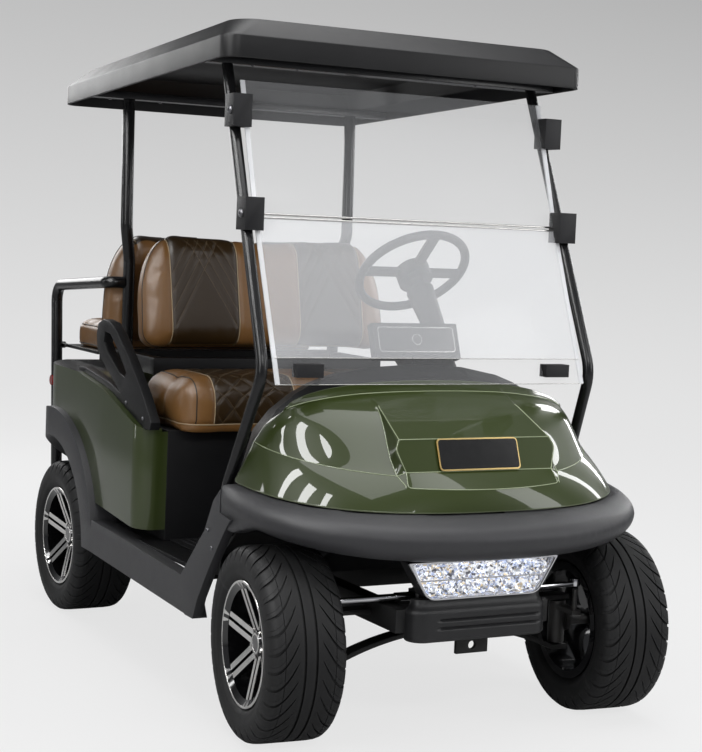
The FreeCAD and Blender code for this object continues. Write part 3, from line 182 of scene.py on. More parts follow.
def sweep_material():
    """Matt paper, paler near the floor than up the wall."""
    material, tree, shader = new_material("studio_paper")
    place = tree.nodes.new("ShaderNodeTexCoord")
    split = node_in(tree, "ShaderNodeSeparateXYZ", {0: place.outputs["Object"]})
    height = node_in(tree, "ShaderNodeMapRange", {"Value": split.outputs["Z"], "From Min": 0.0,
                                                  "From Max": 4.2})
    ramp = node_in(tree, "ShaderNodeValToRGB", {0: height.outputs[0]})
    ramp.color_ramp.elements[0].color = (0.97, 0.97, 0.97, 1)
    ramp.color_ramp.elements[1].color = (0.52, 0.52, 0.52, 1)
    paper = blended(tree, 0.45, ramp.outputs[0], (0.10, 0.10, 0.10, 1))
    fed(tree, shader, {"Base Color": paper, "Roughness": 1.0, "Specular IOR Level": 0.0})
    glow = node_in(tree, "ShaderNodeEmission", {"Color": ramp.outputs[0], "Strength": 1.0})
    seen = tree.nodes.new("ShaderNodeLightPath").outputs
    straight = worked_out(tree, "MAXIMUM", seen["Is Camera Ray"], seen["Is Transmission Ray"])
    plain = node_in(tree, "ShaderNodeMixShader", {0: worked_out(tree, "MULTIPLY", straight, 0.76),
                                                  1: shader.outputs[0], 2: glow.outputs[0]})
    fed(tree, tree.nodes["Material Output"], {"Surface": plain.outputs[0]})
    return material


sweep = bmesh.new()
SWEEP_LINE = [(-14, 0), (5.0, 0)] + [
    (5.0 + 3.0 * math.sin(math.radians(a)), 3.0 - 3.0 * math.cos(math.radians(a)))
    for a in range(10, 100, 10)] + [(8.0, 12)]
rows = [[sweep.verts.new((x, y, z)) for x in (-16, 22)] for y, z in SWEEP_LINE]
for low_row, high_row in zip(rows, rows[1:]):
    sweep.faces.new((low_row[0], low_row[1], high_row[1], high_row[0]))
sweep_mesh = mesh_of(sweep, "studio_sweep")
floor = linked("studio_sweep", sweep_mesh)
smoothed(sweep_mesh)
sweep_mesh.materials.append(sweep_material())

# Frame, axles and steering gear: welded steel, spring leaves and cast knuckles in satin black paint
# with a film of dust; each is a copy of the part's own solid with its sharp edges rounded.


def effect_group(name, inputs, outputs):
    """A shared shader effect with the kinds of its named inputs and outputs."""
    group = bpy.data.node_groups.new(name, "ShaderNodeTree")
    for way, sockets in (("INPUT", inputs), ("OUTPUT", outputs)):
        for label, kind in sockets.items():
            group.interface.new_socket(label, in_out=way, socket_type="NodeSocket" + kind)
    return group, group.nodes.new("NodeGroupInput"), group.nodes.new("NodeGroupOutput")


def mottle_group():
    """Colour and roughness that wander a little over a surface."""
    group, given, made = effect_group("mottle", {
        "Color": "Color", "Second": "Color", "Scale": "Float", "Amount": "Float", "Roughness": "Float",
        "Spread": "Float"}, {"Color": "Color", "Roughness": "Float"})
    place = group.nodes.new("ShaderNodeTexCoord")
    cloud = node_in(group, "ShaderNodeTexNoise", {"Vector": place.outputs["Object"],
                                                  "Scale": given.outputs["Scale"], "Detail": 5})
    share = worked_out(group, "MULTIPLY", cloud.outputs["Fac"], given.outputs["Amount"])
    centred = worked_out(group, "SUBTRACT", cloud.outputs["Fac"], 0.5)
    fed(group, made, {0: blended(group, share, given.outputs["Color"], given.outputs["Second"]),
                      1: worked_out(group, "MULTIPLY_ADD", centred, given.outputs["Spread"],
                                    given.outputs["Roughness"])})
    return group


def grain_group():
    """The fine leathery texture that moulds leave on plastic and rubber."""
    group, given, made = effect_group("moulded_grain", {"Scale": "Float", "Depth": "Float"},
                                      {"Normal": "Vector"})
    place = group.nodes.new("ShaderNodeTexCoord")
    cells = node_in(group, "ShaderNodeTexVoronoi", {"Vector": place.outputs["Object"],
                                                    "Scale": given.outputs["Scale"]}, feature="SMOOTH_F1")
    bump = node_in(group, "ShaderNodeBump", {"Strength": 1.0, "Height": cells.outputs["Distance"],
                                             "Distance": given.outputs["Depth"]})
    fed(group, made, {0: bump.outputs["Normal"]})
    return group


def edge_wear_and_highlight_group():
    """Edges painted paler than the flats beside them: rubbed wear on the dark finishes, a painted highlight
    on the green lacquer.
    """
    group, given, made = effect_group("rubbed_and_highlit_edges", {
        "Color": "Color", "Edge Color": "Color", "Amount": "Float"}, {"Color": "Color"})
    surface = group.nodes.new("ShaderNodeNewGeometry")
    edge = node_in(group, "ShaderNodeMapRange", {"Value": surface.outputs["Pointiness"],
                                                 "From Min": 0.52, "From Max": 0.60})
    share = worked_out(group, "MULTIPLY", edge.outputs[0], given.outputs["Amount"])
    fed(group, made, {0: blended(group, share, given.outputs["Color"], given.outputs["Edge Color"])})
    return group


MOTTLE, GRAIN, EDGE_WEAR_AND_HIGHLIGHT = mottle_group(), grain_group(), edge_wear_and_highlight_group()


def clouded(tree, color, second, scale, amount, roughness, spread):
    """The shared mottle, used in a material with its two colours and its measures."""
    return node_in(tree, "ShaderNodeGroup", {
        "Color": (*color, 1), "Second": (*second, 1), "Scale": scale, "Amount": amount,
        "Roughness": roughness, "Spread": spread}, node_tree=MOTTLE).outputs


def grained(tree, scale, depth):
    """The shared moulded grain, used in a material."""
    return node_in(tree, "ShaderNodeGroup", {"Scale": scale, "Depth": depth}, node_tree=GRAIN).outputs[0]


def finish_material(name, color, second, roughness, spread=0.12, mottle=9.0, amount=0.8,
                    grain=None, edge=None, metallic=0.0, coat=0.0, coat_rough=0.05, shine=0.5):
    """A paint or plastic: wandering colour, paler edges where it has an edge colour (rubbed wear on the dark
    finishes, a painted highlight on the green lacquer), and a moulded grain where it has one.
    """
    material, tree, shader = new_material(name)
    cloud = clouded(tree, color, second, mottle, amount, roughness, spread)
    result = cloud["Color"]
    if edge:
        # The edge colour paints convex edges paler: wear on the dark finishes, a painted highlight on the
        # green lacquer.
        worn_and_lit_edges = node_in(tree, "ShaderNodeGroup", {"Color": result, "Edge Color": (*edge, 1), "Amount": 0.7},
                         node_tree=EDGE_WEAR_AND_HIGHLIGHT)
        result = worn_and_lit_edges.outputs["Color"]
    if grain:
        fed(tree, shader, {"Normal": grained(tree, *grain)})
    fed(tree, shader, {"Base Color": result, "Roughness": cloud["Roughness"], "Metallic": metallic,
                       "Coat Weight": coat, "Coat Roughness": coat_rough, "Specular IOR Level": shine})
    return material


def paint_node(name, material):
    """Gives one of the part's own solids its finish."""
    mesh = frame["nodes"][name].data
    mesh.materials.clear()
    mesh.materials.append(material)


def body_of(node):
    """The body that a node of the part belongs to."""
    return frame["nodes"][node]["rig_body"]


def softened(node, width, material, segments=3, angle=32):
    """A copy of one of the part's solids with its sharp edges rounded, in place of the solid."""
    source = frame["nodes"][node]
    form = bmesh.new()
    form.from_mesh(source.data)
    bmesh.ops.remove_doubles(form, verts=form.verts, dist=2e-5)
    bmesh.ops.dissolve_limit(form, angle_limit=math.radians(0.6), verts=form.verts, edges=form.edges)
    form.normal_update()
    sharp = [edge for edge in form.edges
             if len(edge.link_faces) == 2 and edge.calc_face_angle(0) > math.radians(angle)]
    bmesh.ops.bevel(form, geom=sharp, offset=width, segments=segments, profile=0.5,
                    affect="EDGES", clamp_overlap=True)
    wide = [face for face in form.faces if len(face.verts) > 4]
    bmesh.ops.triangulate(form, faces=wide, quad_method="BEAUTY", ngon_method="BEAUTY")
    mesh = mesh_of(form, node + "_made")
    smoothed(mesh, 38)
    mesh.materials.append(material)
    piece = linked(node + "_made", mesh)
    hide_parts(node)
    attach(piece, body_of(node))
    return piece


FRAME_PAINT = finish_material("frame_paint", (0.004, 0.004, 0.0045), (0.012, 0.0115, 0.011), 0.42,
                              spread=0.3, mottle=14, edge=(0.035, 0.035, 0.035), shine=0.28)
for name, width in (("chassis_frame", 0.002), ("front_suspension", 0.0012), ("rear_axle", 0.0015),
                    ("drive_motor", 0.004), ("battery_pack", 0.006)):
    softened(name, width, FRAME_PAINT, segments=2)
CAST_IRON = finish_material("cast_knuckle", (0.022, 0.022, 0.023), (0.050, 0.047, 0.043), 0.38,
                            spread=0.25, mottle=30, grain=(900, 0.0004), metallic=0.3)
for name in ("knuckle_left", "knuckle_right"):
    softened(name, 0.0025, CAST_IRON, segments=2)
CHROME = finish_material("chrome_rod", (0.70, 0.70, 0.72), (0.52, 0.52, 0.54), 0.12, spread=0.12,
                         mottle=40, metallic=1.0)
softened("tie_rods", 0.001, CHROME, segments=2)
BLACK_TUBE = finish_material("tube_coat", (0.004, 0.004, 0.0045), (0.010, 0.010, 0.011), 0.24,
                             spread=0.12, mottle=18, grain=(1200, 0.0001), edge=(0.03, 0.03, 0.032),
                             shine=0.45)
for name, width in (("roof_struts", 0.0015), ("guard_rails", 0.0015), ("roof_brackets", 0.002),
                    ("flip_deck", 0.002)):
    softened(name, width, BLACK_TUBE, segments=2)

# Charcoal mouldings: the roll below the nose, the legs, sills and rear wheel bands, and the footplate,
# all blown or injected polypropylene with a fine grain and softly rounded edges, bolted to the frame.
CHARCOAL = finish_material("charcoal_moulding", (0.034, 0.034, 0.037), (0.044, 0.044, 0.047), 0.42,
                           spread=0.10, mottle=26, grain=(1500, 0.00025), edge=(0.065, 0.065, 0.07),
                           shine=0.4)
softened("side_trims", 0.009, CHARCOAL)
roll = softened("front_bumper", 0.004, CHARCOAL, segments=2)
# The roll's ends widen into fender corners that close the space above the legs.
CORNER_LINE = [(0.602, -0.790, 0.662), (0.602, -0.790, 0.540), (0.605, -0.872, 0.534),
               (0.602, -0.900, 0.546), (0.593, -0.950, 0.558), (0.566, -1.020, 0.570), (0.566, -1.020, 0.640)]
CORNER_THICK = 0.070


def skinned(form, rings):
    """The faces between closed rings of points, one ring after another."""
    faces = []
    for first, second in zip(rings, rings[1:]):
        for k in range(len(first)):
            after = (k + 1) % len(first)
            faces.append(form.faces.new((first[k], first[after], second[after], second[k])))
    return faces


corners = bmesh.new()
corners.from_mesh(roll.data)
for side in (-1, 1):
    outer = [corners.verts.new((side * x, y, z)) for x, y, z in CORNER_LINE]
    inner = [corners.verts.new((side * (x - CORNER_THICK), y, z)) for x, y, z in CORNER_LINE]
    ends = [corners.faces.new(outer), corners.faces.new(inner[::-1])]
    bmesh.ops.recalc_face_normals(corners, faces=ends + skinned(corners, (inner, outer)))
corners.to_mesh(roll.data)
corners.free()
evened = roll.modifiers.new("evened", "REMESH")
evened.mode = "VOXEL"
evened.voxel_size = 0.0075
rounding = roll.modifiers.new("rounding", "SMOOTH")
rounding.factor, rounding.iterations = 0.5, 34
ready = roll.evaluated_get(bpy.context.evaluated_depsgraph_get())
roll_mesh = bpy.data.meshes.new_from_object(ready)
roll.modifiers.clear()
roll.data = roll_mesh
smoothed(roll_mesh)
softened("footplate", 0.003, CHARCOAL)

# Roof: one thermoformed cover in satin black, with an upright skirt, a sloping shoulder and a flat
# crown; grey steel plates and bolts hold it to the struts from below.
ROOF_BLACK = finish_material("roof_cover", (0.005, 0.005, 0.0055), (0.008, 0.008, 0.009), 0.38,
                             spread=0.10, mottle=12, grain=(700, 0.0002), edge=(0.10, 0.10, 0.10), shine=0.28)
softened("roof", 0.005, ROOF_BLACK, angle=12)

# Black cabin mouldings: dash, seat base, hip restraints, windshield clamps, pedals, floor and its mat,
# column and hand wheel; injected plastic and rubber with a fine grain, screwed to the frame and struts.
CABIN_BLACK = finish_material("cabin_plastic", (0.004, 0.004, 0.0045), (0.008, 0.008, 0.009), 0.42,
                              spread=0.12, mottle=22, grain=(1300, 0.0002), edge=(0.03, 0.03, 0.032),
                              shine=0.2)
for name, width in (("dash_pad", 0.008), ("hip_restraints", 0.012), ("windshield_fittings", 0.006),
                    ("pedals", 0.003), ("seat_base", 0.004), ("backrest_rail", 0.003)):
    softened(name, width, CABIN_BLACK)
for name, width in (("floor_pan", 0.002), ("floor_mat", 0.002), ("steering_column", 0.006),
                    ("steering_wheel", 0.003)):
    softened(name, width, CABIN_BLACK)

# Green rear body: one shell moulded in colour and lacquered, bolted over the frame behind the seats;
# the deck on top of it, under the rear bench, stays bare black.
# The lacquer's pale edge colour is a painted highlight: crisp edges of the shell and the nose are drawn
# lighter, as if they caught the light.
GREEN = finish_material("olive_lacquer", (0.033, 0.047, 0.010), (0.039, 0.055, 0.012), 0.34,
                        edge=(0.30, 0.34, 0.22), spread=0.05, mottle=5, amount=0.6, coat=0.7, coat_rough=0.02,
                        shine=0.15)
DECK_LEVEL = 0.846
body_shell = softened("rear_body", 0.014, GREEN, segments=4)
body_shell.data.materials.append(CABIN_BLACK)
for face in body_shell.data.polygons:
    if face.center.z > DECK_LEVEL and face.normal.z > 0.5:
        face.material_index = 1

# Nose cowl: one thin green moulding with a crease at its shoulder and a raised panel down the middle,
# clipped to the roll below and to the dash behind. It is a grid of columns over four rows of points,
# from the lip to the rear edge.
NOSE_LIP = dict(half=0.565, nose=-0.240, rear=0.190, low=0.630, high=0.665, bend=0.77)
NOSE_SHOULDER = dict(half=0.512, nose=-0.206, rear=0.185, low=0.712, high=0.775, bend=1.0)
NOSE_BROW = dict(half=0.480, nose=-0.045, rear=0.168, low=0.855, high=0.830, bend=0.95)
NOSE_REAR = dict(half=0.448, nose=0.130, rear=0.130, low=0.945, high=0.862, bend=0.9)
FRONT_AXLE_Y = -0.990
# Rows of the raised panel, from the lip to the rear edge: place along the dome's curve, station and
# height of the panel's own line, half its width, the half width of its foot, and how crisp the row is.
PANEL_ROWS = [(0.00, None, None, 0.236, 0.246, 0.0), (0.36, None, None, 0.236, 0.246, 0.0),
              (0.68, None, None, 0.236, 0.238, 1.0), (1.00, -0.160, 0.729, 0.228, 0.253, 1.0),
              (1.34, -0.1375, 0.788, 0.250, 0.2515, 0.0), (1.52, -0.128, 0.8125, 0.237, 0.247, 1.0),
              (2.30, 0.022, 0.887, 0.221, 0.2225, 0.0), (3.00, None, None, 0.221, 0.2225, 0.0)]
ROW_PARTS = (3, 3, 4, 4, 2, 7, 7)


def row_point(row, angle):
    """A point of one row of the nose, in stations behind the front axle."""
    across, along = abs(math.sin(angle)), max(math.cos(angle), 0.0)
    return Vector((math.copysign(row["half"] * across ** row["bend"], angle),
                   row["rear"] - (row["rear"] - row["nose"]) * along ** row["bend"],
                   row["low"] + (row["high"] - row["low"]) * (1 - along)))


def angle_at(row, x):
    """The angle of a row's point with a given X value."""
    share = min(abs(x) / row["half"], 1.0) ** (1 / row["bend"])
    return math.copysign(math.asin(share), x)


NOSE_ROWS = (NOSE_LIP, NOSE_SHOULDER, NOSE_BROW, NOSE_REAR)
MIDDLE_HALF = 0.30


def nose_column(place):
    """The four row points of one column; place is an X value near the middle, then a share beyond."""
    if abs(place) <= 1:
        return [row_point(row, angle_at(row, place * MIDDLE_HALF)) for row in NOSE_ROWS]
    share = abs(place) - 1
    points = []
    for row in NOSE_ROWS:
        start = angle_at(row, MIDDLE_HALF)
        points.append(row_point(row, math.copysign(start + (math.pi / 2 - start) * share, place)))
    return points


def along_curve(points, t):
    """A point on a smooth curve through four row points, with a crease at the second."""
    lip, shoulder, brow, rear = points
    if t <= 1:
        bulge = Vector((0, -0.006, 0.002)) * 4 * t * (1 - t)
        return lip.lerp(shoulder, t) + bulge
    t = t - 1
    tangent = (brow - shoulder) * 1.25 - (rear - brow) * 0.35
    tangent.z *= 0.72
    if t <= 1:
        out_a, out_b = tangent, (rear - shoulder) / 2
        a, b = shoulder, brow
    else:
        t -= 1
        out_a, out_b = (rear - shoulder) / 2, (rear - brow) * 0.8
        a, b = brow, rear
    h = t * t * (3 - 2 * t)
    return a * (1 - h) + b * h + out_a * (t ** 3 - 2 * t ** 2 + t) + out_b * (t ** 3 - t ** 2)


def panel_edge(k, part):
    """The half widths of the panel and of its foot between two of its rows."""
    low, high = PANEL_ROWS[k], PANEL_ROWS[min(k + 1, len(PANEL_ROWS) - 1)]
    return low[3] + (high[3] - low[3]) * part, low[4] + (high[4] - low[4]) * part


def panel_spot(k, part, t, x):
    """A point of the raised panel: on its own line where it has one, otherwise on the dome."""
    ends = []
    for row in (PANEL_ROWS[k], PANEL_ROWS[min(k + 1, len(PANEL_ROWS) - 1)]):
        if row[1] is None:
            spot = along_curve(nose_column(x / MIDDLE_HALF), row[0])
            ends.append(Vector((x, spot.y, spot.z)))
        else:
            ends.append(Vector((x, row[1], row[2])))
    if PANEL_ROWS[k][1] is None and PANEL_ROWS[min(k + 1, len(PANEL_ROWS) - 1)][1] is None:
        spot = along_curve(nose_column(x / MIDDLE_HALF), t)
        return Vector((x, spot.y, spot.z))
    return ends[0].lerp(ends[1], part)


row_marks = []
for k, count in enumerate(ROW_PARTS):
    row_marks += [(k, part / count) for part in range(count)]
row_marks.append((len(ROW_PARTS), 0.0))
panel_places = [0, 0.2, 0.4, 0.6, 0.78, 0.92, 1.0]
outer_places = [1 + k / 17 for k in range(18)]
half_places = [("panel", p) for p in panel_places] + [("foot", 1.0), ("near", 0.3), ("near", 0.65)]
half_places += [("outer", p) for p in outer_places]
places = [(kind, -p) for kind, p in half_places[:0:-1]] + half_places
nose = bmesh.new()
crease = nose.edges.layers.float.new("crease_edge")
grid = []
for kind, place in places:
    side = math.copysign(1, place)
    column = []
    for k, part in row_marks:
        low_t = PANEL_ROWS[k][0]
        high_t = PANEL_ROWS[min(k + 1, len(PANEL_ROWS) - 1)][0]
        t = low_t + (high_t - low_t) * part
        edge, foot = panel_edge(k, part)
        if kind == "panel":
            spot = panel_spot(k, part, t, place * edge)
        else:
            near = foot + (MIDDLE_HALF - foot) * abs(place)
            x = {"foot": foot, "near": near, "outer": MIDDLE_HALF}[kind] * side
            spot = along_curve(nose_column(place if kind == "outer" else x / MIDDLE_HALF), t)
        if 2.66 < t < 2.76:
            spot = spot + Vector((0, 0.0005, -0.0022))
        column.append(nose.verts.new(spot + Vector((0, FRONT_AXLE_Y, 0))))
    grid.append(column)
for left_column, right_column in zip(grid, grid[1:]):
    for k in range(len(row_marks) - 1):
        nose.faces.new((left_column[k], right_column[k], right_column[k + 1], left_column[k + 1]))
crisp_rows = {sum(ROW_PARTS[:k]): row[5] for k, row in enumerate(PANEL_ROWS) if row[5]}
shoulder_row = sum(ROW_PARTS[:3])
first_crisp, last_crisp = sum(ROW_PARTS[:2]), sum(ROW_PARTS[:6])
for index, (kind, place) in enumerate(places):
    at_edge = kind == "foot" or (kind == "panel" and abs(abs(place) - 1) < 1e-6)
    if at_edge:
        for k in range(first_crisp, last_crisp):
            upright_edge = nose.edges.get((grid[index][k], grid[index][k + 1]))
            upright_edge[crease] = 1.0
            upright_edge.smooth = False
    if index + 1 < len(places):
        panel_pair = kind == "panel" and places[index + 1][0] == "panel"
        for k, strength in crisp_rows.items():
            if panel_pair or k == shoulder_row:
                level_edge = nose.edges.get((grid[index][k], grid[index + 1][k]))
                level_edge[crease] = strength if panel_pair else 0.97
                level_edge.smooth = False
seam_row = sum(ROW_PARTS[:6]) + 4
for index, (kind, place) in enumerate(places[:-1]):
    if kind != "outer" or abs(place) < 1.75:
        nose.edges.get((grid[index][seam_row], grid[index + 1][seam_row])).smooth = False
nose_mesh = mesh_of(nose, "nose_cowl")
nose_piece = linked("nose_cowl", nose_mesh)
smoothed(nose_mesh)
nose_mesh.materials.append(GREEN)
smooth = nose_piece.modifiers.new("smooth", "SUBSURF")
smooth.levels = smooth.render_levels = 2
ready = nose_piece.evaluated_get(bpy.context.evaluated_depsgraph_get())
fine_nose = bpy.data.meshes.new_from_object(ready)
wall = nose_piece.modifiers.new("wall", "SOLIDIFY")
wall.thickness = 0.004
wall.offset = -1
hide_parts("front_cowl")
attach(nose_piece, "root")

# Front plate: a plain black panel in a thin gold rim, pressed from sheet and glued to the upright face of
# the nose's raised panel.
PLATE_BLACK = finish_material("plate_black", (0.006, 0.006, 0.006), (0.010, 0.010, 0.010), 0.14,
                              spread=0.06, mottle=40, coat=0.6)
PLATE_GOLD = finish_material("plate_gold", (0.62, 0.46, 0.20), (0.50, 0.36, 0.15), 0.30, mottle=60,
                             metallic=1.0)
plate_tilt = math.atan2(0.8125 - 0.729, 0.032)
plate_turn = Matrix.Rotation(plate_tilt, 4, "X")
plate_turn.translation = Vector((0, FRONT_AXLE_Y - 0.1475, 0.772))


def rounded_plate(name, size, corner, thick, material, turn, offset=0.0):
    """A plate with round corners, given flat and then turned into place."""
    form = bmesh.new()
    half_wide, half_high = size[0] / 2 - corner, size[1] / 2 - corner
    ring = []
    for quarter, (sx, sy) in enumerate(((1, 1), (-1, 1), (-1, -1), (1, -1))):
        for step in range(7):
            a = math.radians(quarter * 90 + step * 15)
            ring.append((sx * half_wide + corner * math.cos(a), sy * half_high + corner * math.sin(a)))
    top = [form.verts.new((x, y, offset + thick)) for x, y in ring]
    base = [form.verts.new((x, y, offset)) for x, y in ring]
    form.faces.new(top)
    form.faces.new(base[::-1])
    skinned(form, (base, top))
    form.normal_update()
    rim_edges = [edge for edge in form.edges if edge.calc_face_angle(0) > 1.0]
    bmesh.ops.bevel(form, geom=rim_edges, offset=min(thick * 0.35, 0.0012), segments=2, affect="EDGES")
    mesh = mesh_of(form, name)
    mesh.transform(turn)
    smoothed(mesh, 40)
    mesh.materials.append(material)
    return linked(name, mesh)


for name, size, corner, thick, material in (
        ("plate_border", (0.255, 0.089), 0.012, 0.003, PLATE_GOLD),
        ("plate_field", (0.249, 0.083), 0.010, 0.0038, PLATE_BLACK)):
    piece = rounded_plate(name, size, corner, thick, material, plate_turn)
    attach(piece, "root")

# Tyres: low street tyres with a solid centre rib between two grooves, and slots that sweep from the
# middle down to both shoulders; moulded rubber, one pitch of the tread repeated round the wheel.


def growing_tree(name, **inputs):
    """A geometry node tree with the named inputs that it takes besides its geometry and material."""
    tree = bpy.data.node_groups.new(name, "GeometryNodeTree")
    for label, kind in (("Geometry", "Geometry"), *inputs.items(), ("Material", "Material")):
        tree.interface.new_socket(label, in_out="INPUT", socket_type="NodeSocket" + kind)
    tree.interface.new_socket("Geometry", in_out="OUTPUT", socket_type="NodeSocketGeometry")
    return tree, tree.nodes.new("NodeGroupInput")


def closed_tree(tree, given, result):
    """Ends a tree: its instances made real, and its material set."""
    real = node_in(tree, "GeometryNodeRealizeInstances", {0: result})
    skin = node_in(tree, "GeometryNodeSetMaterial", {"Geometry": real.outputs[0],
                                                     "Material": given.outputs["Material"]})
    node_in(tree, "NodeGroupOutput", {0: skin.outputs[0]})
    return tree


def ring_tree():
    """Geometry nodes that repeat one pitch round the X axis."""
    tree, given = growing_tree("tread_ring", Count="Int")
    spots = node_in(tree, "GeometryNodePoints", {"Count": given.outputs["Count"]})
    order = tree.nodes.new("GeometryNodeInputIndex").outputs[0]
    step = worked_out(tree, "DIVIDE", math.tau, given.outputs["Count"])
    turn = node_in(tree, "ShaderNodeCombineXYZ", {"X": worked_out(tree, "MULTIPLY", order, step)})
    copies = node_in(tree, "GeometryNodeInstanceOnPoints", {
        "Points": spots.outputs[0], "Instance": given.outputs["Geometry"], "Rotation": turn.outputs[0]})
    return closed_tree(tree, given, copies.outputs[0])


def grown(name, seed_mesh, tree, inputs, merge=None):
    """The plain mesh that a node tree makes from a seed mesh."""
    seed = linked(name + "_seed", seed_mesh)
    maker = seed.modifiers.new("maker", "NODES")
    maker.node_group = tree
    for item in tree.interface.items_tree:
        if item.in_out == "INPUT" and item.name in inputs:
            maker[item.identifier] = inputs[item.name]
    seed.update_tag()
    bpy.context.view_layer.update()
    ready = seed.evaluated_get(bpy.context.evaluated_depsgraph_get())
    mesh = bpy.data.meshes.new_from_object(ready)
    mesh.name = name
    bpy.data.objects.remove(seed)
    if merge:
        form = bmesh.new()
        form.from_mesh(mesh)
        bmesh.ops.remove_doubles(form, verts=form.verts, dist=merge)
        form.to_mesh(mesh)
        form.free()
    return mesh


def shown(name, mesh, body, smooth_angle=None):
    """A piece of the object from a finished mesh."""
    if smooth_angle:
        smoothed(mesh, smooth_angle)
    piece = linked(name, mesh)
    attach(piece, body)
    return piece


def wheel_places():
    """The place, turn and names of each wheel, from the joints."""
    found = []
    for joint in frame["joints"]:
        if joint["name"].endswith("_spin"):
            label = joint["name"].removesuffix("_spin")
            centre = Vector(joint["pos_m"])
            swing = Matrix.Rotation(math.atan2(joint["axis"][1], joint["axis"][0]), 4, "Z")
            found.append((label, Matrix.Translation(centre) @ swing, joint["child"]))
    return found


TYRE_LINE = [(0, 0.2600), (0.060, 0.2598), (0.078, 0.2585), (0.088, 0.2560), (0.0960, 0.2500),
             (0.1015, 0.2420), (0.1050, 0.2310), (0.1070, 0.2180), (0.1072, 0.2120), (0.1058, 0.2010),
             (0.1045, 0.1985), (0.1040, 0.1900), (0.1000, 0.1810), (0.0940, 0.1745), (0.0900, 0.1700),
             (0.0868, 0.1686)]
PITCHES = 34
GROOVE_DEPTH, SLOT_DEPTH, SIPE_DEPTH, LINE_DEPTH = 0.0065, 0.0060, 0.0030, 0.0022


def line_radius(x):
    """The radius of the tyre's tread at a distance from its middle."""
    for (x0, r0), (x1, r1) in zip(TYRE_LINE, TYRE_LINE[1:]):
        if x0 <= x <= x1:
            return r0 + (r1 - r0) * (x - x0) / (x1 - x0)
    return TYRE_LINE[-1][1]


def slot_sweep(x):
    """How far a slot has turned back round the tyre, in radians."""
    share = min(max((abs(x) - 0.030) / 0.072, 0), 1)
    return 0.33 * (1 - (1 - share) ** 1.9)


def slot_width(x):
    """The part of a pitch that a slot takes: a point near the middle, wide at the shoulder."""
    share = min(max((x - 0.031) / 0.018, 0), 1)
    return 0.030 + 0.155 * share ** 0.7


def tread_depth(x, row):
    """The depth below the tread at a column, for one of the rows across a pitch."""
    x = abs(x)
    if 0.0128 <= x <= 0.0182:
        return GROOVE_DEPTH
    fade = min(max((x - 0.0315) / 0.006, 0), 1) * min(max((0.1063 - x) / 0.004, 0), 1)
    deep = 0.0
    if row in (2, 3):
        deep = SLOT_DEPTH * fade
    if row == 7 and 0.066 < x < 0.1035:
        deep = max(deep, SIPE_DEPTH)
    if abs(x - 0.0685) < 0.0006:
        deep = max(deep, LINE_DEPTH)
    return deep


COLUMN_X = [0, 0.006, 0.0120, 0.0128, 0.0182, 0.0190, 0.0250, 0.0300, 0.0318, 0.0345, 0.0375, 0.0420,
            0.0470, 0.0530, 0.0590, 0.0640, 0.0675, 0.0681, 0.0689, 0.0695, 0.0740, 0.0780, 0.0830, 0.0880,
            0.0920, 0.0960, 0.0990, 0.1015, 0.1034, 0.1050, 0.1064, 0.1070]
tread_columns = [(x, line_radius(x), True) for x in COLUMN_X]
wall_columns = [(x, r, False) for x, r in TYRE_LINE[8:]]
half_columns = tread_columns + wall_columns
full_columns = [(-x, r, live) for x, r, live in half_columns[:0:-1]] + half_columns
PITCH_ANGLE = math.tau / PITCHES


def row_shares(x):
    """The places of the rows across one pitch at a column."""
    width = slot_width(abs(x))
    return [0.0, 0.30, 0.305, 0.305 + width - 0.005, 0.305 + width, 0.66, 0.742, 0.75, 0.758, 0.88, 1.0]


segment = bmesh.new()
segment_rows = []
for x, radius, live in full_columns:
    column = []
    for row, share in enumerate(row_shares(x)):
        deep = tread_depth(x, row) if live else 0.0
        angle = share * PITCH_ANGLE - slot_sweep(x)
        shrunk = radius - deep
        column.append(segment.verts.new((x, -shrunk * math.cos(angle), shrunk * math.sin(angle))))
    segment_rows.append(column)
for first, second in zip(segment_rows, segment_rows[1:]):
    for k in range(len(first) - 1):
        segment.faces.new((first[k], second[k], second[k + 1], first[k + 1]))
bmesh.ops.recalc_face_normals(segment, faces=segment.faces)
middle_face = max(segment.faces, key=lambda face: -face.calc_center_median().y)
if middle_face.normal.y > 0:
    bmesh.ops.reverse_faces(segment, faces=segment.faces)
segment_mesh = mesh_of(segment, "tread_pitch")

RUBBER = finish_material("tyre_rubber", (0.0060, 0.0060, 0.0063), (0.0130, 0.0130, 0.0133), 0.56,
                         spread=0.16, mottle=24, grain=(1600, 0.00016), edge=(0.026, 0.026, 0.027), shine=0.3)
tread_tree = ring_tree()
tyre_mesh = grown("tyre", segment_mesh, tread_tree, {"Count": PITCHES, "Material": RUBBER}, merge=1e-5)
for label, turn, body in wheel_places():
    mesh = tyre_mesh.copy()
    mesh.transform(turn)
    piece = shown("tread_" + label, mesh, body, smooth_angle=40)
    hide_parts("tyre_" + label)

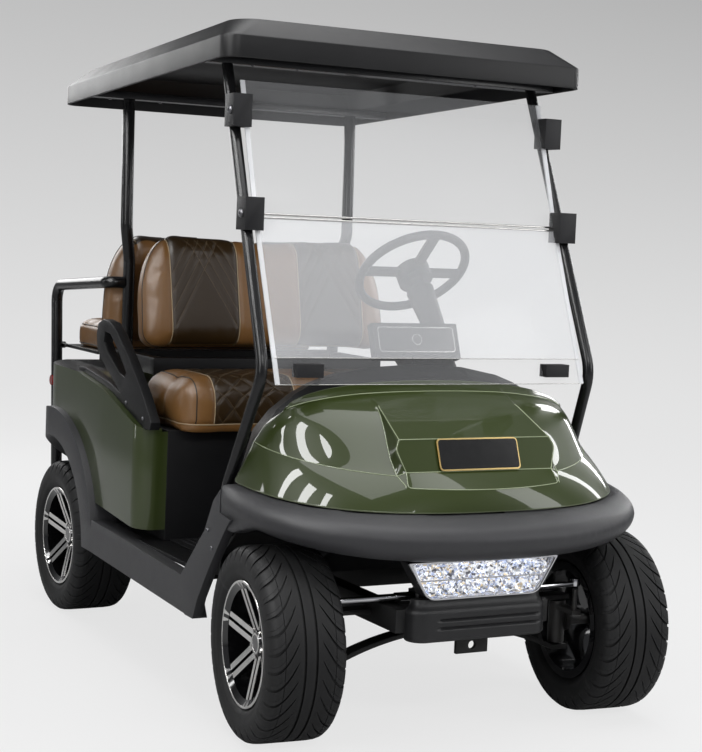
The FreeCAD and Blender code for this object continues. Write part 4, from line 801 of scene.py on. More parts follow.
# Rims: cast alloy in gloss black, with the spoke faces and the outer lip turned bright after paint;
# the centre cap is plain black in a bright ring, and five nuts stand round it.
RIM_BLACK = finish_material("rim_gloss", (0.004, 0.004, 0.0045), (0.008, 0.008, 0.009), 0.10, spread=0.08,
                            mottle=30, coat=0.7)
BRIGHT = finish_material("turned_alloy", (0.80, 0.79, 0.77), (0.66, 0.65, 0.63), 0.20, spread=0.10,
                         mottle=70, metallic=1.0)
SPOKE_TURN, SPOKE_WIDTH, RING_STEPS = math.radians(14), 0.016, 96
FACE_LINE = [(0.0524, 0.0350), (0.0842, 0.1448), (0.0856, 0.1456), (0.0954, 0.1606), (0.0958, 0.1618)]
BACK_LINE = [(0.0512, 0.0356), (0.0834, 0.1464), (0.0850, 0.1470), (0.0946, 0.1616), (0.0949, 0.1622)]
LIP_LINE = [(0.0946, 0.1612), (0.0956, 0.1616), (0.0960, 0.1640), (0.0957, 0.1672), (0.0945, 0.1684),
            (0.0900, 0.1684), (0.0900, 0.1680)]
CAP_LINE = [(0.0578, 0.0222), (0.0590, 0.0226), (0.0592, 0.0250), (0.0588, 0.0274), (0.0576, 0.0278)]
count = len(FACE_LINE)
for label, turn, body in wheel_places():
    paint_node("rim_" + label, RIM_BLACK)
    own = {"left": Matrix.Identity(4), "right": Matrix.Rotation(math.pi, 4, "Z")}[label.split("_")[1]]
    bright = bmesh.new()
    for pair in range(6):
        spin = Matrix.Rotation(SPOKE_TURN + pair * math.pi / 3, 4, "X")
        for low in (0.0050, -0.0210):
            sides = (low, low + SPOKE_WIDTH)
            upper = [bright.verts.new(spin @ Vector((x, y, r))) for y in sides for x, r in FACE_LINE]
            lower = [bright.verts.new(spin @ Vector((x, y, r))) for y in sides for x, r in BACK_LINE]
            for k in range(count - 1):
                far = count + k
                bright.faces.new((upper[k], upper[k + 1], upper[far + 1], upper[far]))
                bright.faces.new((lower[k], lower[far], lower[far + 1], lower[k + 1]))
                bright.faces.new((lower[k], lower[k + 1], upper[k + 1], upper[k]))
                bright.faces.new((lower[far], upper[far], upper[far + 1], lower[far + 1]))
            for k in (0, count - 1):
                bright.faces.new((lower[k], upper[k], upper[count + k], lower[count + k]))
    bmesh.ops.recalc_face_normals(bright, faces=bright.faces)
    long_edges = [e for e in bright.edges if e.calc_face_angle(0) > 1]
    bmesh.ops.bevel(bright, geom=long_edges, offset=0.0004, segments=2, affect="EDGES")
    for line in (LIP_LINE, CAP_LINE):
        angles = [step * math.tau / RING_STEPS for step in range(RING_STEPS)]
        ring = [[bright.verts.new((x, r * math.cos(a), r * math.sin(a))) for x, r in line] for a in angles]
        for here, after in zip(ring, ring[1:] + ring[:1]):
            for k in range(len(line) - 1):
                bright.faces.new((here[k], here[k + 1], after[k + 1], after[k]))
    for nut in range(5):
        spin = Matrix.Rotation((nut + 0.5) * math.tau / 5, 4, "X")
        seat = spin @ Matrix.Translation((0.0535, 0, 0.0378)) @ Matrix.Rotation(math.pi / 2, 4, "Y")
        bmesh.ops.create_cone(bright, cap_ends=True, segments=6, radius1=0.0062, radius2=0.0055,
                              depth=0.008, matrix=seat)
    mesh = mesh_of(bright, "turned_" + label)
    mesh.transform(turn @ own)
    mesh.materials.append(BRIGHT)
    shown("turned_" + label, mesh, body, smooth_angle=35)

# Seats: moulded foam under sewn vinyl, blown up with cloth and held near the foam's shape; tan
# bolsters, dark quilted panels, and piping along the joins. Both rows are bolted to their decks.


def leather_material(name):
    """Vinyl in two colours, told apart by the cover's own attribute, with a pebbled grain."""
    material, tree, shader = new_material(name)
    mask = node_in(tree, "ShaderNodeAttribute", attribute_name="panel")
    crisp = node_in(tree, "ShaderNodeMapRange", {"Value": mask.outputs["Fac"],
                                                 "From Min": -0.0006, "From Max": 0.0006})
    tan = clouded(tree, (0.285, 0.140, 0.044), (0.225, 0.106, 0.032), 16, 0.9, 0.35, 0.16)
    dark = clouded(tree, (0.046, 0.0245, 0.0070), (0.034, 0.0175, 0.0048), 16, 0.9, 0.35, 0.16)
    fed(tree, shader, {"Base Color": blended(tree, crisp.outputs[0], tan["Color"], dark["Color"]),
                       "Roughness": tan["Roughness"], "Normal": grained(tree, 620, 0.00035),
                       "Specular IOR Level": 0.5})
    return material


def prism(outline, depth, edge):
    """A closed form with an outline in X and Y, from Z 0 to a depth, with rounded edges."""
    form = bmesh.new()
    top = [form.verts.new((x, y, depth)) for x, y in outline]
    base = [form.verts.new((x, y, 0)) for x, y in outline]
    form.faces.new(top)
    form.faces.new(base[::-1])
    skinned(form, (base, top))
    form.normal_update()
    rims = [item for item in form.edges if abs(item.verts[0].co.z - item.verts[1].co.z) < 1e-6]
    bmesh.ops.bevel(form, geom=rims, offset=edge, segments=4, profile=0.5, affect="EDGES")
    return mesh_of(form, "foam")


def applied(piece):
    """The piece's mesh with its modifiers worked in."""
    bpy.context.view_layer.update()
    ready = piece.evaluated_get(bpy.context.evaluated_depsgraph_get())
    mesh = bpy.data.meshes.new_from_object(ready)
    piece.modifiers.clear()
    piece.data = mesh


CLOTH_STEPS = 20


def points_of(mesh, kind="co"):
    """The places or the normals of a mesh's points, one row to a point."""
    values = np.empty(len(mesh.vertices) * 3)
    mesh.vertices.foreach_get(kind, values)
    return values.reshape(-1, 3)


def cover(name, foam, reach, base_low, body, node):
    """A sewn cover over a foam form: remeshed, blown up with cloth and held within a reach."""
    piece = linked(name, foam)
    even = piece.modifiers.new("even", "REMESH")
    even.mode = "VOXEL"
    even.voxel_size = 0.0085
    applied(piece)
    start = points_of(piece.data)
    cloth = piece.modifiers.new("cloth", "CLOTH")
    vinyl = cloth.settings
    vinyl.quality, vinyl.mass = 4, 0.3
    vinyl.tension_stiffness = vinyl.compression_stiffness = 12
    vinyl.use_pressure, vinyl.uniform_pressure_force = True, 4.0
    vinyl.effector_weights.gravity = 0.0
    cloth.point_cache.frame_start, cloth.point_cache.frame_end = 1, CLOTH_STEPS
    for step in range(1, CLOTH_STEPS + 1):
        scene.frame_set(step)
    applied(piece)
    scene.frame_set(1)
    moved = points_of(piece.data) - start
    length = np.linalg.norm(moved, axis=1, keepdims=True)
    held = start + moved / np.maximum(length, 1e-9) * reach * np.tanh(length / reach)
    held[:, 2] = np.maximum(held[:, 2], base_low)
    piece.data.vertices.foreach_set("co", held.ravel())
    settle = piece.modifiers.new("settle", "SMOOTH")
    settle.factor, settle.iterations = 0.5, 6
    finer = piece.modifiers.new("finer", "SUBSURF")
    finer.levels = finer.render_levels = 1
    applied(piece)
    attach(piece, body)
    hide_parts(node)
    return piece


def stitched(piece, channels, panel, turn, material):
    """Presses the seams into a cover, marks its panels, and puts it in its place."""
    mesh = piece.data
    spots, normals = points_of(mesh), points_of(mesh, "normal")
    depth = channels(spots)
    mesh.vertices.foreach_set("co", (spots - normals * depth[:, None]).ravel())
    shade = mesh.attributes.new("panel", "FLOAT", "POINT")
    shade.data.foreach_set("value", panel(spots).astype(np.float32))
    mesh.transform(turn)
    smoothed(mesh)
    mesh.materials.clear()
    mesh.materials.append(material)
    mesh.update()


def groove(distance, depth, width):
    """The depth of a sewn channel at a distance from its line."""
    return depth * np.exp(-(distance / width) ** 2)


def run_tree(name, make_profile):
    """Geometry nodes along a path: a welt of one section, or stitches one after another."""
    tree, given = growing_tree(name, Radius="Float", Spacing="Float")
    path = node_in(tree, "GeometryNodeMeshToCurve", {"Mesh": given.outputs["Geometry"]})
    even = node_in(tree, "GeometryNodeResampleCurve", {"Curve": path.outputs[0],
                                                       "Length": given.outputs["Spacing"]}, mode="LENGTH")
    return closed_tree(tree, given, make_profile(tree, given, even))


def welt_profile(tree, given, even):
    """A round section carried along the path."""
    circle = node_in(tree, "GeometryNodeCurvePrimitiveCircle", {"Resolution": 8,
                                                                "Radius": given.outputs["Radius"]})
    tube = node_in(tree, "GeometryNodeCurveToMesh", {"Curve": even.outputs[0],
                                                     "Profile Curve": circle.outputs[0], "Fill Caps": True})
    return tube.outputs[0]


def stitch_profile(tree, given, even):
    """Short rounded stitches laid end to end with a gap between them."""
    grain = node_in(tree, "GeometryNodeMeshUVSphere", {"Segments": 6, "Rings": 4,
                                                       "Radius": given.outputs["Radius"]})
    along = tree.nodes.new("GeometryNodeInputTangent").outputs[0]
    aim = node_in(tree, "FunctionNodeAlignRotationToVector", {"Vector": along}, axis="Z")
    stretch = worked_out(tree, "DIVIDE", given.outputs["Spacing"], given.outputs["Radius"])
    scale = node_in(tree, "ShaderNodeCombineXYZ", {"X": 1.0, "Y": 1.0,
                                                   "Z": worked_out(tree, "MULTIPLY", stretch, 0.40)})
    copies = node_in(tree, "GeometryNodeInstanceOnPoints", {
        "Points": even.outputs[0], "Instance": grain.outputs["Mesh"], "Rotation": aim.outputs[0],
        "Scale": scale.outputs[0]})
    return copies.outputs[0]


WELT_TREE = run_tree("sewn_welt", welt_profile)
STITCH_TREE = run_tree("sewn_stitches", stitch_profile)


def surface_of(mesh):
    """A mesh made ready for rays to be cast at it."""
    return BVHTree.FromPolygons([v.co for v in mesh.vertices], [f.vertices for f in mesh.polygons])


def laid_path(surface, rays, lift):
    """Points where rays meet a cover, raised a little off it."""
    points = []
    for origin, direction in rays:
        hit, normal, _, _ = surface.ray_cast(Vector(origin), Vector(direction))
        if hit is not None:
            points.append(hit + normal * lift)
    return points


def path_mesh(name, paths):
    """A mesh of loose edges along some paths."""
    mesh = bpy.data.meshes.new(name)
    points, edges = [], []
    for path in paths:
        first = len(points)
        points += [tuple(p) for p in path]
        edges += [(first + k, first + k + 1) for k in range(len(path) - 1)]
    mesh.from_pydata(points, edges, [])
    return mesh


def sewn(name, paths, tree, radius, spacing, material, body):
    """A run of piping or thread along some paths, as a piece of its own."""
    inputs = {"Radius": radius, "Spacing": spacing, "Material": material}
    mesh = grown(name, path_mesh(name + "_path", paths), tree, inputs)
    return shown(name, mesh, body, smooth_angle=60)


VINYL = leather_material("seat_vinyl")
PIPING = finish_material("cream_piping", (0.52, 0.40, 0.25), (0.42, 0.31, 0.18), 0.45, mottle=60)
DARK_WELT = finish_material("dark_welt", (0.020, 0.011, 0.005), (0.030, 0.017, 0.008), 0.5, mottle=60)
THREAD = finish_material("pale_thread", (0.26, 0.185, 0.10), (0.20, 0.14, 0.075), 0.6, mottle=200)

BACK_HALF, BACK_HIGH, BACK_THICK = 0.470, 0.412, 0.120
PANEL_IN, PANEL_OUT = 0.112, 0.352
COVER_REACH = 0.016
QUILT_SLOPE = math.tan(math.radians(60))


def back_outline(inset):
    """Half of a backrest's front outline, from the bottom middle round to the top middle."""
    half, high = BACK_HALF - inset, BACK_HIGH - inset
    points = [(0.0, inset), (half - 0.055, inset)]
    points += [(half - 0.055 + 0.055 * math.sin(a), inset + 0.055 - 0.055 * math.cos(a))
               for a in (math.radians(d) for d in range(15, 91, 15))]
    wide, tall = 0.135, 0.240
    points += [(half - wide + wide * math.cos(a), high - tall + tall * math.sin(a))
               for a in (math.radians(d) for d in range(0, 91, 9))]
    points += [(0.23, high), (0.15, high - 0.001), (0.10, high - 0.005), (0.05, high - 0.010)]
    return points + [(0.0, high - 0.012)]


def whole_outline(half):
    """Both halves of an outline that begins and ends on the middle line."""
    return half[:-1] + [(-x, y) for x, y in half[:0:-1]]


def back_quilt():
    """The slanted quilt lines of one backrest panel, as pairs of end points."""
    lines = []
    for start in (0.075, 0.135, 0.195, 0.255):
        for side in (1, -1):
            edge_x = PANEL_OUT - 0.006 if side > 0 else PANEL_IN + 0.006
            run = min((0.372 - start) / QUILT_SLOPE, PANEL_OUT - PANEL_IN - 0.012)
            end = start + run * QUILT_SLOPE
            lines.append(((edge_x, start), (edge_x - side * run, end)))
    return lines


def distance_to(points, line):
    """The distance of many points from one stretch of line."""
    a, b = np.array(line[0]), np.array(line[1])
    share = np.clip(((points - a) @ (b - a)) / ((b - a) @ (b - a)), 0, 1)
    return np.linalg.norm(points - a - share[:, None] * (b - a), axis=1)


def back_channels(spots):
    """How deep a backrest's seams lie; the cover's Z runs from its back to its front."""
    across, height, front = np.abs(spots[:, 0]), spots[:, 1], spots[:, 2]
    depth = np.zeros(len(spots))
    facing = front > BACK_THICK * 0.45
    flat = np.stack([across, height], axis=1)
    for line in back_quilt():
        depth = np.maximum(depth, np.where(facing, groove(distance_to(flat, line), 0.0026, 0.0045), 0))
    for edge in (PANEL_IN, PANEL_OUT):
        near = np.abs(across - edge)
        depth = np.maximum(depth, np.where(facing | (height > 0.30), groove(near, 0.0050, 0.0085), 0))
    return depth


def back_panel(spots):
    """Positive inside the dark panels and on the dark strip over the top."""
    across, height, front = np.abs(spots[:, 0]), spots[:, 1], spots[:, 2]
    middle = np.minimum(across - PANEL_IN, PANEL_OUT - across)
    strip = np.minimum.reduce([across - PANEL_IN, 0.425 - across, 0.078 - front, height - 0.362])
    strip = np.minimum(strip, front - 0.020)
    return np.where(front < 0.078, strip, np.maximum(np.minimum(middle, 0.02), strip))


def backrest(name, node, turn):
    """A backrest with two quilted panels, its piping and its thread."""
    foam = prism(whole_outline(back_outline(0.010)), BACK_THICK - 0.028, 0.034)
    foam.transform(Matrix.Translation((0, 0, 0.014)))
    piece = cover(name, foam, COVER_REACH, 0.001, "root", node)
    stitched(piece, back_channels, back_panel, turn, VINYL)
    surface = surface_of(piece.data)
    toward = turn.to_3x3()
    lines = []
    for side in (1, -1):
        for (x0, y0), (x1, y1) in back_quilt():
            count = max(int(math.hypot(x1 - x0, y1 - y0) / 0.006), 2)
            rays = [(turn @ Vector((side * (x0 + (x1 - x0) * k / count), y0 + (y1 - y0) * k / count, 0.4)),
                     toward @ Vector((0, 0, -1))) for k in range(count + 1)]
            lines.append(laid_path(surface, rays, 0.0002))
    sewn(name + "_thread", lines, STITCH_TREE, 0.0007, 0.0052, THREAD, "root")
    joins = []
    for side in (1, -1):
        for edge in (PANEL_IN, PANEL_OUT):
            rays = [(turn @ Vector((side * edge, 0.012 + 0.323 * k / 40, 0.4)), toward @ Vector((0, 0, -1)))
                    for k in range(41)]
            rays += [(turn @ Vector((side * edge, 0.337 + 0.3 * math.sin(a), 0.060 + 0.3 * math.cos(a))),
                      toward @ Vector((0, -math.sin(a), -math.cos(a))))
                     for a in (math.radians(4 + 3 * k) for k in range(44))]
            joins.append(laid_path(surface, rays, 0.0006))
    sewn(name + "_piping", joins, WELT_TREE, 0.0018, 0.006, PIPING, "root")
    rounds = []
    for side in (1, -1):
        outline = [p for p in back_outline(0.0) if p[0] > 0.2]
        path = []
        for (x0, y0), (x1, y1) in zip(outline, outline[1:]):
            for k in range(8):
                x, y = x0 + (x1 - x0) * k / 8, y0 + (y1 - y0) * k / 8
                inward = Vector((x - 0.20, y - 0.17)).normalized()
                lean = Vector((-inward.x * 0.72 * side, -inward.y * 0.72, -0.70)).normalized()
                at = Vector((side * x, y, 0.108)) - lean * 0.15
                path.append((turn @ at, toward @ lean))
        rounds.append(laid_path(surface, path, 0.0004))
    sewn(name + "_welt", rounds, WELT_TREE, 0.0017, 0.006, DARK_WELT, "root")


UPRIGHT = Matrix(((1, 0, 0, 0), (0, 0, -1, 0), (0, 1, 0, 0), (0, 0, 0, 1)))
front_lean = Matrix.Translation((0, 0.180 + 0.120 * math.cos(math.radians(12)),
                                 0.945 - 0.120 * math.sin(math.radians(12))))
backrest("front_backrest", "seat_backrest", front_lean @ Matrix.Rotation(math.radians(-12), 4, "X") @ UPRIGHT)
rear_lean = Matrix.Translation((0, 0.550, 0.920)) @ Matrix.Rotation(math.radians(2), 4, "X")
backrest("back_to_back_rest", "rear_backrest", rear_lean @ Matrix.Rotation(math.pi, 4, "Z") @ UPRIGHT)

# Front bench: one deep cushion of foam under sewn vinyl that drops over the seat base; its dark panels
# are quilted in diamonds that run over the top and down the rounded front, with a cream belt at its foot.
SEAT_BACK, SEAT_FRONT, SEAT_BASE, SEAT_HIGH, NOSE_ROUND = 0.145, -0.240, 0.722, 0.176, 0.070
SEAT_IN, SEAT_OUT, SEAT_END, SEAT_MIDDLE = 0.100, 0.372, 0.432, 0.236
BELT_HEIGHT = 0.026
TOP_RUN = SEAT_BACK - SEAT_FRONT - NOSE_ROUND
ROUND_RUN = NOSE_ROUND * math.pi / 2
QUILT_PITCH, QUILT_TURN = 0.056, math.radians(38)


def rounded_outline(x_half, y_low, y_high, corner_low, corner_high):
    """A rectangle with round corners, in the XY plane."""
    corners = ((x_half - corner_high, y_high - corner_high, corner_high, 0),
               (-x_half + corner_high, y_high - corner_high, corner_high, 90),
               (-x_half + corner_low, y_low + corner_low, corner_low, 180),
               (x_half - corner_low, y_low + corner_low, corner_low, 270))
    return [(cx + r * math.cos(math.radians(first + 15 * k)), cy + r * math.sin(math.radians(first + 15 * k)))
            for cx, cy, r, first in corners for k in range(7)]


def seat_run(spots):
    """How far each point of the front cushion is from its back edge, over the top and down the front."""
    y, z = spots[:, 1], spots[:, 2]
    middle_y, middle_z = SEAT_FRONT + NOSE_ROUND, SEAT_HIGH - NOSE_ROUND
    angle = np.arctan2(middle_y - y, np.maximum(z - middle_z, 1e-6))
    return np.where(y > middle_y, SEAT_BACK - y,
                    np.where(z > middle_z, TOP_RUN + NOSE_ROUND * angle, TOP_RUN + ROUND_RUN + middle_z - z))


def seat_ray(x, run):
    """A ray onto the front cushion at a distance from its back edge."""
    middle_y, middle_z = SEAT_FRONT + NOSE_ROUND, SEAT_HIGH - NOSE_ROUND
    if run < TOP_RUN:
        at, toward = Vector((x, SEAT_BACK - run, 0.6)), Vector((0, 0, -1))
    elif run < TOP_RUN + ROUND_RUN:
        angle = (run - TOP_RUN) / NOSE_ROUND
        out = Vector((0, -math.sin(angle), math.cos(angle)))
        at, toward = Vector((x, middle_y, middle_z)) + out * 0.4, -out
    else:
        at, toward = Vector((x, SEAT_FRONT - 0.3, middle_z - (run - TOP_RUN - ROUND_RUN))), Vector((0, 1, 0))
    return at + Vector((0, 0, SEAT_BASE)), toward


def seat_channels(spots):
    """How deep the front cushion's seams and quilting lie."""
    across, run, height = np.abs(spots[:, 0]), seat_run(spots), spots[:, 2]
    inside = (across > SEAT_IN) & (across < SEAT_OUT) & (height > 0.03)
    depth = np.zeros(len(spots))
    for side in (1, -1):
        wave = run * math.sin(QUILT_TURN) + side * (across - SEAT_MIDDLE) * math.cos(QUILT_TURN)
        wave /= QUILT_PITCH
        near = np.abs(wave - np.round(wave)) * QUILT_PITCH
        depth = np.maximum(depth, np.where(inside, groove(near, 0.0034, 0.0055), 0))
    for edge in (SEAT_IN, SEAT_OUT):
        depth = np.maximum(depth, np.where(height > 0.02, groove(np.abs(across - edge), 0.0050, 0.0085), 0))
    return np.maximum(depth, groove(np.abs(height - BELT_HEIGHT), 0.0040, 0.008))


def seat_panel(spots):
    """Positive inside the front cushion's dark panels."""
    across, height = np.abs(spots[:, 0]), spots[:, 2]
    inside = np.minimum.reduce([across - SEAT_IN, SEAT_OUT - across, height - BELT_HEIGHT])
    return np.clip(inside, -0.02, 0.02)


foam = prism(rounded_outline(0.484, SEAT_FRONT + 0.014, SEAT_BACK - 0.012, 0.075, 0.035), 0.172, 0.052)
foam.transform(Matrix.Translation((0, 0, -0.012)))
seat_turn = Matrix.Translation((0, 0, SEAT_BASE))
bench = cover("front_bench", foam, COVER_REACH, 0.0006, "root", "seat_cushion")
stitched(bench, seat_channels, seat_panel, seat_turn, VINYL)
surface = surface_of(bench.data)
FRONT_RUN = TOP_RUN + ROUND_RUN + SEAT_HIGH - NOSE_ROUND - 0.030


def seat_line(x, start, lift):
    """A line laid on the front cushion from its back edge, over the top and down the front."""
    rays = [seat_ray(x, start + (FRONT_RUN - start) * k / 90) for k in range(91)]
    return laid_path(surface, rays, lift)


def belt_path(surface, belt, height, core_x, core_low, core_high):
    """A closed line round a cushion at a height, laid by rays that aim at the cushion's core."""
    rays = []
    for (x0, y0), (x1, y1) in zip(belt, belt[1:] + belt[:1]):
        steps = max(int(math.hypot(x1 - x0, y1 - y0) / 0.012), 1)
        for k in range(steps):
            x, y = x0 + (x1 - x0) * k / steps, y0 + (y1 - y0) * k / steps
            core = Vector((max(min(x, core_x), -core_x), max(min(y, core_high), core_low), 0))
            inward = (core - Vector((x, y, 0))).normalized()
            rays.append((Vector((x, y, height)) - inward * 0.2, inward))
    laid = laid_path(surface, rays, 0.0008)
    return laid + laid[:1]


lines = []
reach = FRONT_RUN * math.sin(QUILT_TURN) + 0.14 * math.cos(QUILT_TURN)
for side in (1, -1):
    for lean in (1, -1):
        for order in range(-3, int(reach / QUILT_PITCH) + 2):
            path = []
            for k in range(61):
                across = SEAT_IN + 0.006 + (SEAT_OUT - SEAT_IN - 0.012) * k / 60
                slide = lean * (across - SEAT_MIDDLE) * math.cos(QUILT_TURN)
                run = (order * QUILT_PITCH - slide) / math.sin(QUILT_TURN)
                if 0.03 < run < FRONT_RUN:
                    path.append(seat_ray(side * across, run))
            if len(path) > 4:
                lines.append(laid_path(surface, path, 0.0002))
sewn("front_bench_thread", lines, STITCH_TREE, 0.0007, 0.0052, THREAD, "root")
joins = [seat_line(side * edge, 0.012, 0.0006) for side in (1, -1) for edge in (SEAT_IN, SEAT_OUT)]
belt = rounded_outline(0.49, SEAT_FRONT + 0.005, SEAT_BACK - 0.004, 0.075, 0.035)
joins.append(belt_path(surface, belt, SEAT_BASE + BELT_HEIGHT, 0.40, -0.14, 0.05))
sewn("front_bench_piping", joins, WELT_TREE, 0.0019, 0.006, PIPING, "root")
ends = [seat_line(side * SEAT_END, 0.006, 0.0005) for side in (1, -1)]
sewn("front_bench_welt", ends, WELT_TREE, 0.0018, 0.006, DARK_WELT, "root")

# Rear bench: a plain flat cushion of the same vinyl, one seam across its middle and a dark welt round its
# top and foot; it is screwed to the deck that flips over, so it moves with the flap.
REAR_BASE, TOP_SEAM = 0.905, 0.078


def rear_channels(spots):
    """How deep the rear cushion's seams lie."""
    across, height = np.abs(spots[:, 0]), spots[:, 2]
    depth = groove(across, 0.0035, 0.006) * (height > 0.05)
    return np.maximum(depth, groove(np.abs(height - TOP_SEAM), 0.0022, 0.006))


foam = prism(rounded_outline(0.427, 0.692, 1.002, 0.05, 0.06), 0.094, 0.024)
foam.transform(Matrix.Translation((0, 0, -0.006)))
rear_turn = Matrix.Translation((0, 0, REAR_BASE))
rear_bench = cover("rear_bench", foam, 0.014, 0.0006, "rear_seat_flap", "rear_cushion")
stitched(rear_bench, rear_channels, lambda spots: np.full(len(spots), -0.02), rear_turn, VINYL)
belt = rounded_outline(0.438, 0.680, 1.012, 0.05, 0.06)
rounds = [belt_path(surface_of(rear_bench.data), belt, REAR_BASE + height, 0.34, 0.79, 0.90)
          for height in (TOP_SEAM, 0.012)]
sewn("rear_bench_welt", rounds, WELT_TREE, 0.0018, 0.006, DARK_WELT, "rear_seat_flap")

# Windshield: two acrylic sheets, milky with fine scratches and clear along the foot of the lower one, with
# polished side edges that carry a painted highlight; two alloy rods pinched over their meeting edges make the
# hinge.


def sheet_material(name, haze, clear_below):
    """Acrylic: a pale veil above a height, clear below it, and a painted highlight along the polished side
    edges.
    """
    material, tree, shader = new_material(name)
    place = tree.nodes.new("ShaderNodeTexCoord")
    split = node_in(tree, "ShaderNodeSeparateXYZ", {0: place.outputs["Object"]})
    veil = node_in(tree, "ShaderNodeMapRange", {
        "Value": split.outputs["Z"], "From Min": clear_below - 0.0008, "From Max": clear_below + 0.0008,
        "To Min": 0.06, "To Max": haze})
    across = worked_out(tree, "ABSOLUTE", split.outputs["X"])
    # The near-opaque pale band at the side edges is a painted highlight: light caught in the polished edges.
    rim = node_in(tree, "ShaderNodeMapRange", {"Value": across, "From Min": 0.4850, "From Max": 0.4868,
                                               "To Max": 0.72})
    cloud = clouded(tree, (0.84, 0.85, 0.87), (0.92, 0.93, 0.95), 2.4, 1.0, 0.16, 0.10)
    fed(tree, shader, {"Alpha": worked_out(tree, "MAXIMUM", veil.outputs[0], rim.outputs[0]),
                       "Base Color": cloud["Color"], "Roughness": cloud["Roughness"],
                       "Specular IOR Level": 0.35})
    return material


LOWER_SHEET = sheet_material("lower_acrylic", 0.27, 1.007)
UPPER_SHEET = sheet_material("upper_acrylic", 0.08, 1.705)
softened("windshield_lower", 0.0015, LOWER_SHEET, segments=2)
softened("windshield_upper", 0.0015, UPPER_SHEET, segments=2)


def rod_between(form, start, end, radius, sides=12):
    """Adds a round rod with capped ends between two points."""
    start, end = Vector(start), Vector(end)
    along = end - start
    turn = along.to_track_quat("Z", "Y").to_matrix().to_4x4()
    bmesh.ops.create_cone(form, cap_ends=True, segments=sides, radius1=radius, radius2=radius,
                          depth=along.length, matrix=Matrix.Translation((start + end) / 2) @ turn)


hinge = bmesh.new()
for z, y in ((1.3805, -0.7265), (1.3905, -0.7225)):
    rod_between(hinge, (-0.496, y, z), (0.496, y, z), 0.0032)
for z, y in ((1.0075, -0.879), (0.9375, -0.9055)):
    rod_between(hinge, (-0.494, y, z), (0.494, y, z), 0.0011, sides=8)
hinge_mesh = mesh_of(hinge, "hinge_strip")
hinge_mesh.materials.append(BRIGHT)
shown("hinge_strip", hinge_mesh, "root", smooth_angle=50)

# Nose edge highlights: where two faces of the moulding meet, a fine pale line paints the highlight that the
# edge would catch; the lines follow the nose's own creases and the seam below the windshield.
EDGE_HIGHLIGHT = finish_material("olive_edge_highlight", (0.40, 0.45, 0.29), (0.22, 0.27, 0.14), 0.22, spread=0.1,
                               mottle=9, amount=1.0, coat=0.5)
marked = [edge for edge in fine_nose.edges if edge.use_edge_sharp]
used = sorted({index for edge in marked for index in edge.vertices})
place_of = {index: order for order, index in enumerate(used)}
edge_lines = bpy.data.meshes.new("nose_edge_lines")
edge_lines.from_pydata([tuple(fine_nose.vertices[index].co) for index in used],
                       [tuple(place_of[index] for index in edge.vertices) for edge in marked], [])
lines_mesh = grown("nose_edges", edge_lines, WELT_TREE,
                   {"Radius": 0.0014, "Spacing": 0.006, "Material": EDGE_HIGHLIGHT})
shown("nose_edges", lines_mesh, "root", smooth_angle=60)

# Headlamp bar: a black tray with a chrome rim, two rows of faceted reflector bowls with a bright rib
# between them, and a clear lens clipped over the front.
LAMP_LOW, LAMP_HIGH, LAMP_HALF_LOW, LAMP_HALF_HIGH = 0.394, 0.499, 0.1723, 0.236
LAMP_FRONT, LAMP_BACK = -1.198, -1.138


def lamp_outline(inset):
    """The lamp's outline from the front: wide above, with rounded lower corners."""
    low, high = LAMP_LOW + inset, LAMP_HIGH - inset
    slope = (LAMP_HALF_HIGH - LAMP_HALF_LOW) / (LAMP_HIGH - LAMP_LOW)
    half_low = LAMP_HALF_LOW + slope * inset - inset * 1.17
    half_high = LAMP_HALF_HIGH - slope * inset - inset * 1.17
    side = Vector((half_high - half_low, high - low)).normalized()
    points = []
    for corner, before, after, reach, steps in (
            (Vector((half_low, low)), Vector((-1, 0)), side, 0.026 - inset, 7),
            (Vector((half_high, high)), -side, Vector((-1, 0)), 0.006, 3)):
        start, end = corner + before * reach, corner + after * reach
        for k in range(steps):
            t = k / (steps - 1)
            points.append(start * (1 - t) ** 2 + corner * 2 * t * (1 - t) + end * t * t)
    return [(p.x, p.y) for p in points] + [(-p.x, p.y) for p in points[::-1]]


def lamp_rings(name, sections, material, closed, smooth_angle):
    """A piece made of rings of the lamp's outline, each at its inset and depth."""
    form = bmesh.new()
    rings = [[form.verts.new((x, y, z)) for x, z in lamp_outline(inset)] for inset, y in sections]
    skinned(form, rings + rings[:1] if closed else rings)
    if not closed:
        form.faces.new(rings[0][::-1])
        form.faces.new(rings[-1])
    bmesh.ops.recalc_face_normals(form, faces=form.faces)
    mesh = mesh_of(form, name)
    mesh.materials.append(material)
    return shown(name, mesh, "root", smooth_angle=smooth_angle)


tray = lamp_rings("lamp_tray", ((0.006, LAMP_BACK), (0.0008, LAMP_BACK - 0.006), (0.0008, -1.189),
                                (0.006, -1.189), (0.008, -1.168)), CABIN_BLACK, False, 35)
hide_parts("headlamp_bar")
lamp_rings("lamp_rim", ((0.0, -1.188), (0.0, -1.1962), (0.0016, LAMP_FRONT), (0.0048, LAMP_FRONT),
                        (0.0072, -1.1950), (0.0085, -1.176)), CHROME, True, 35)


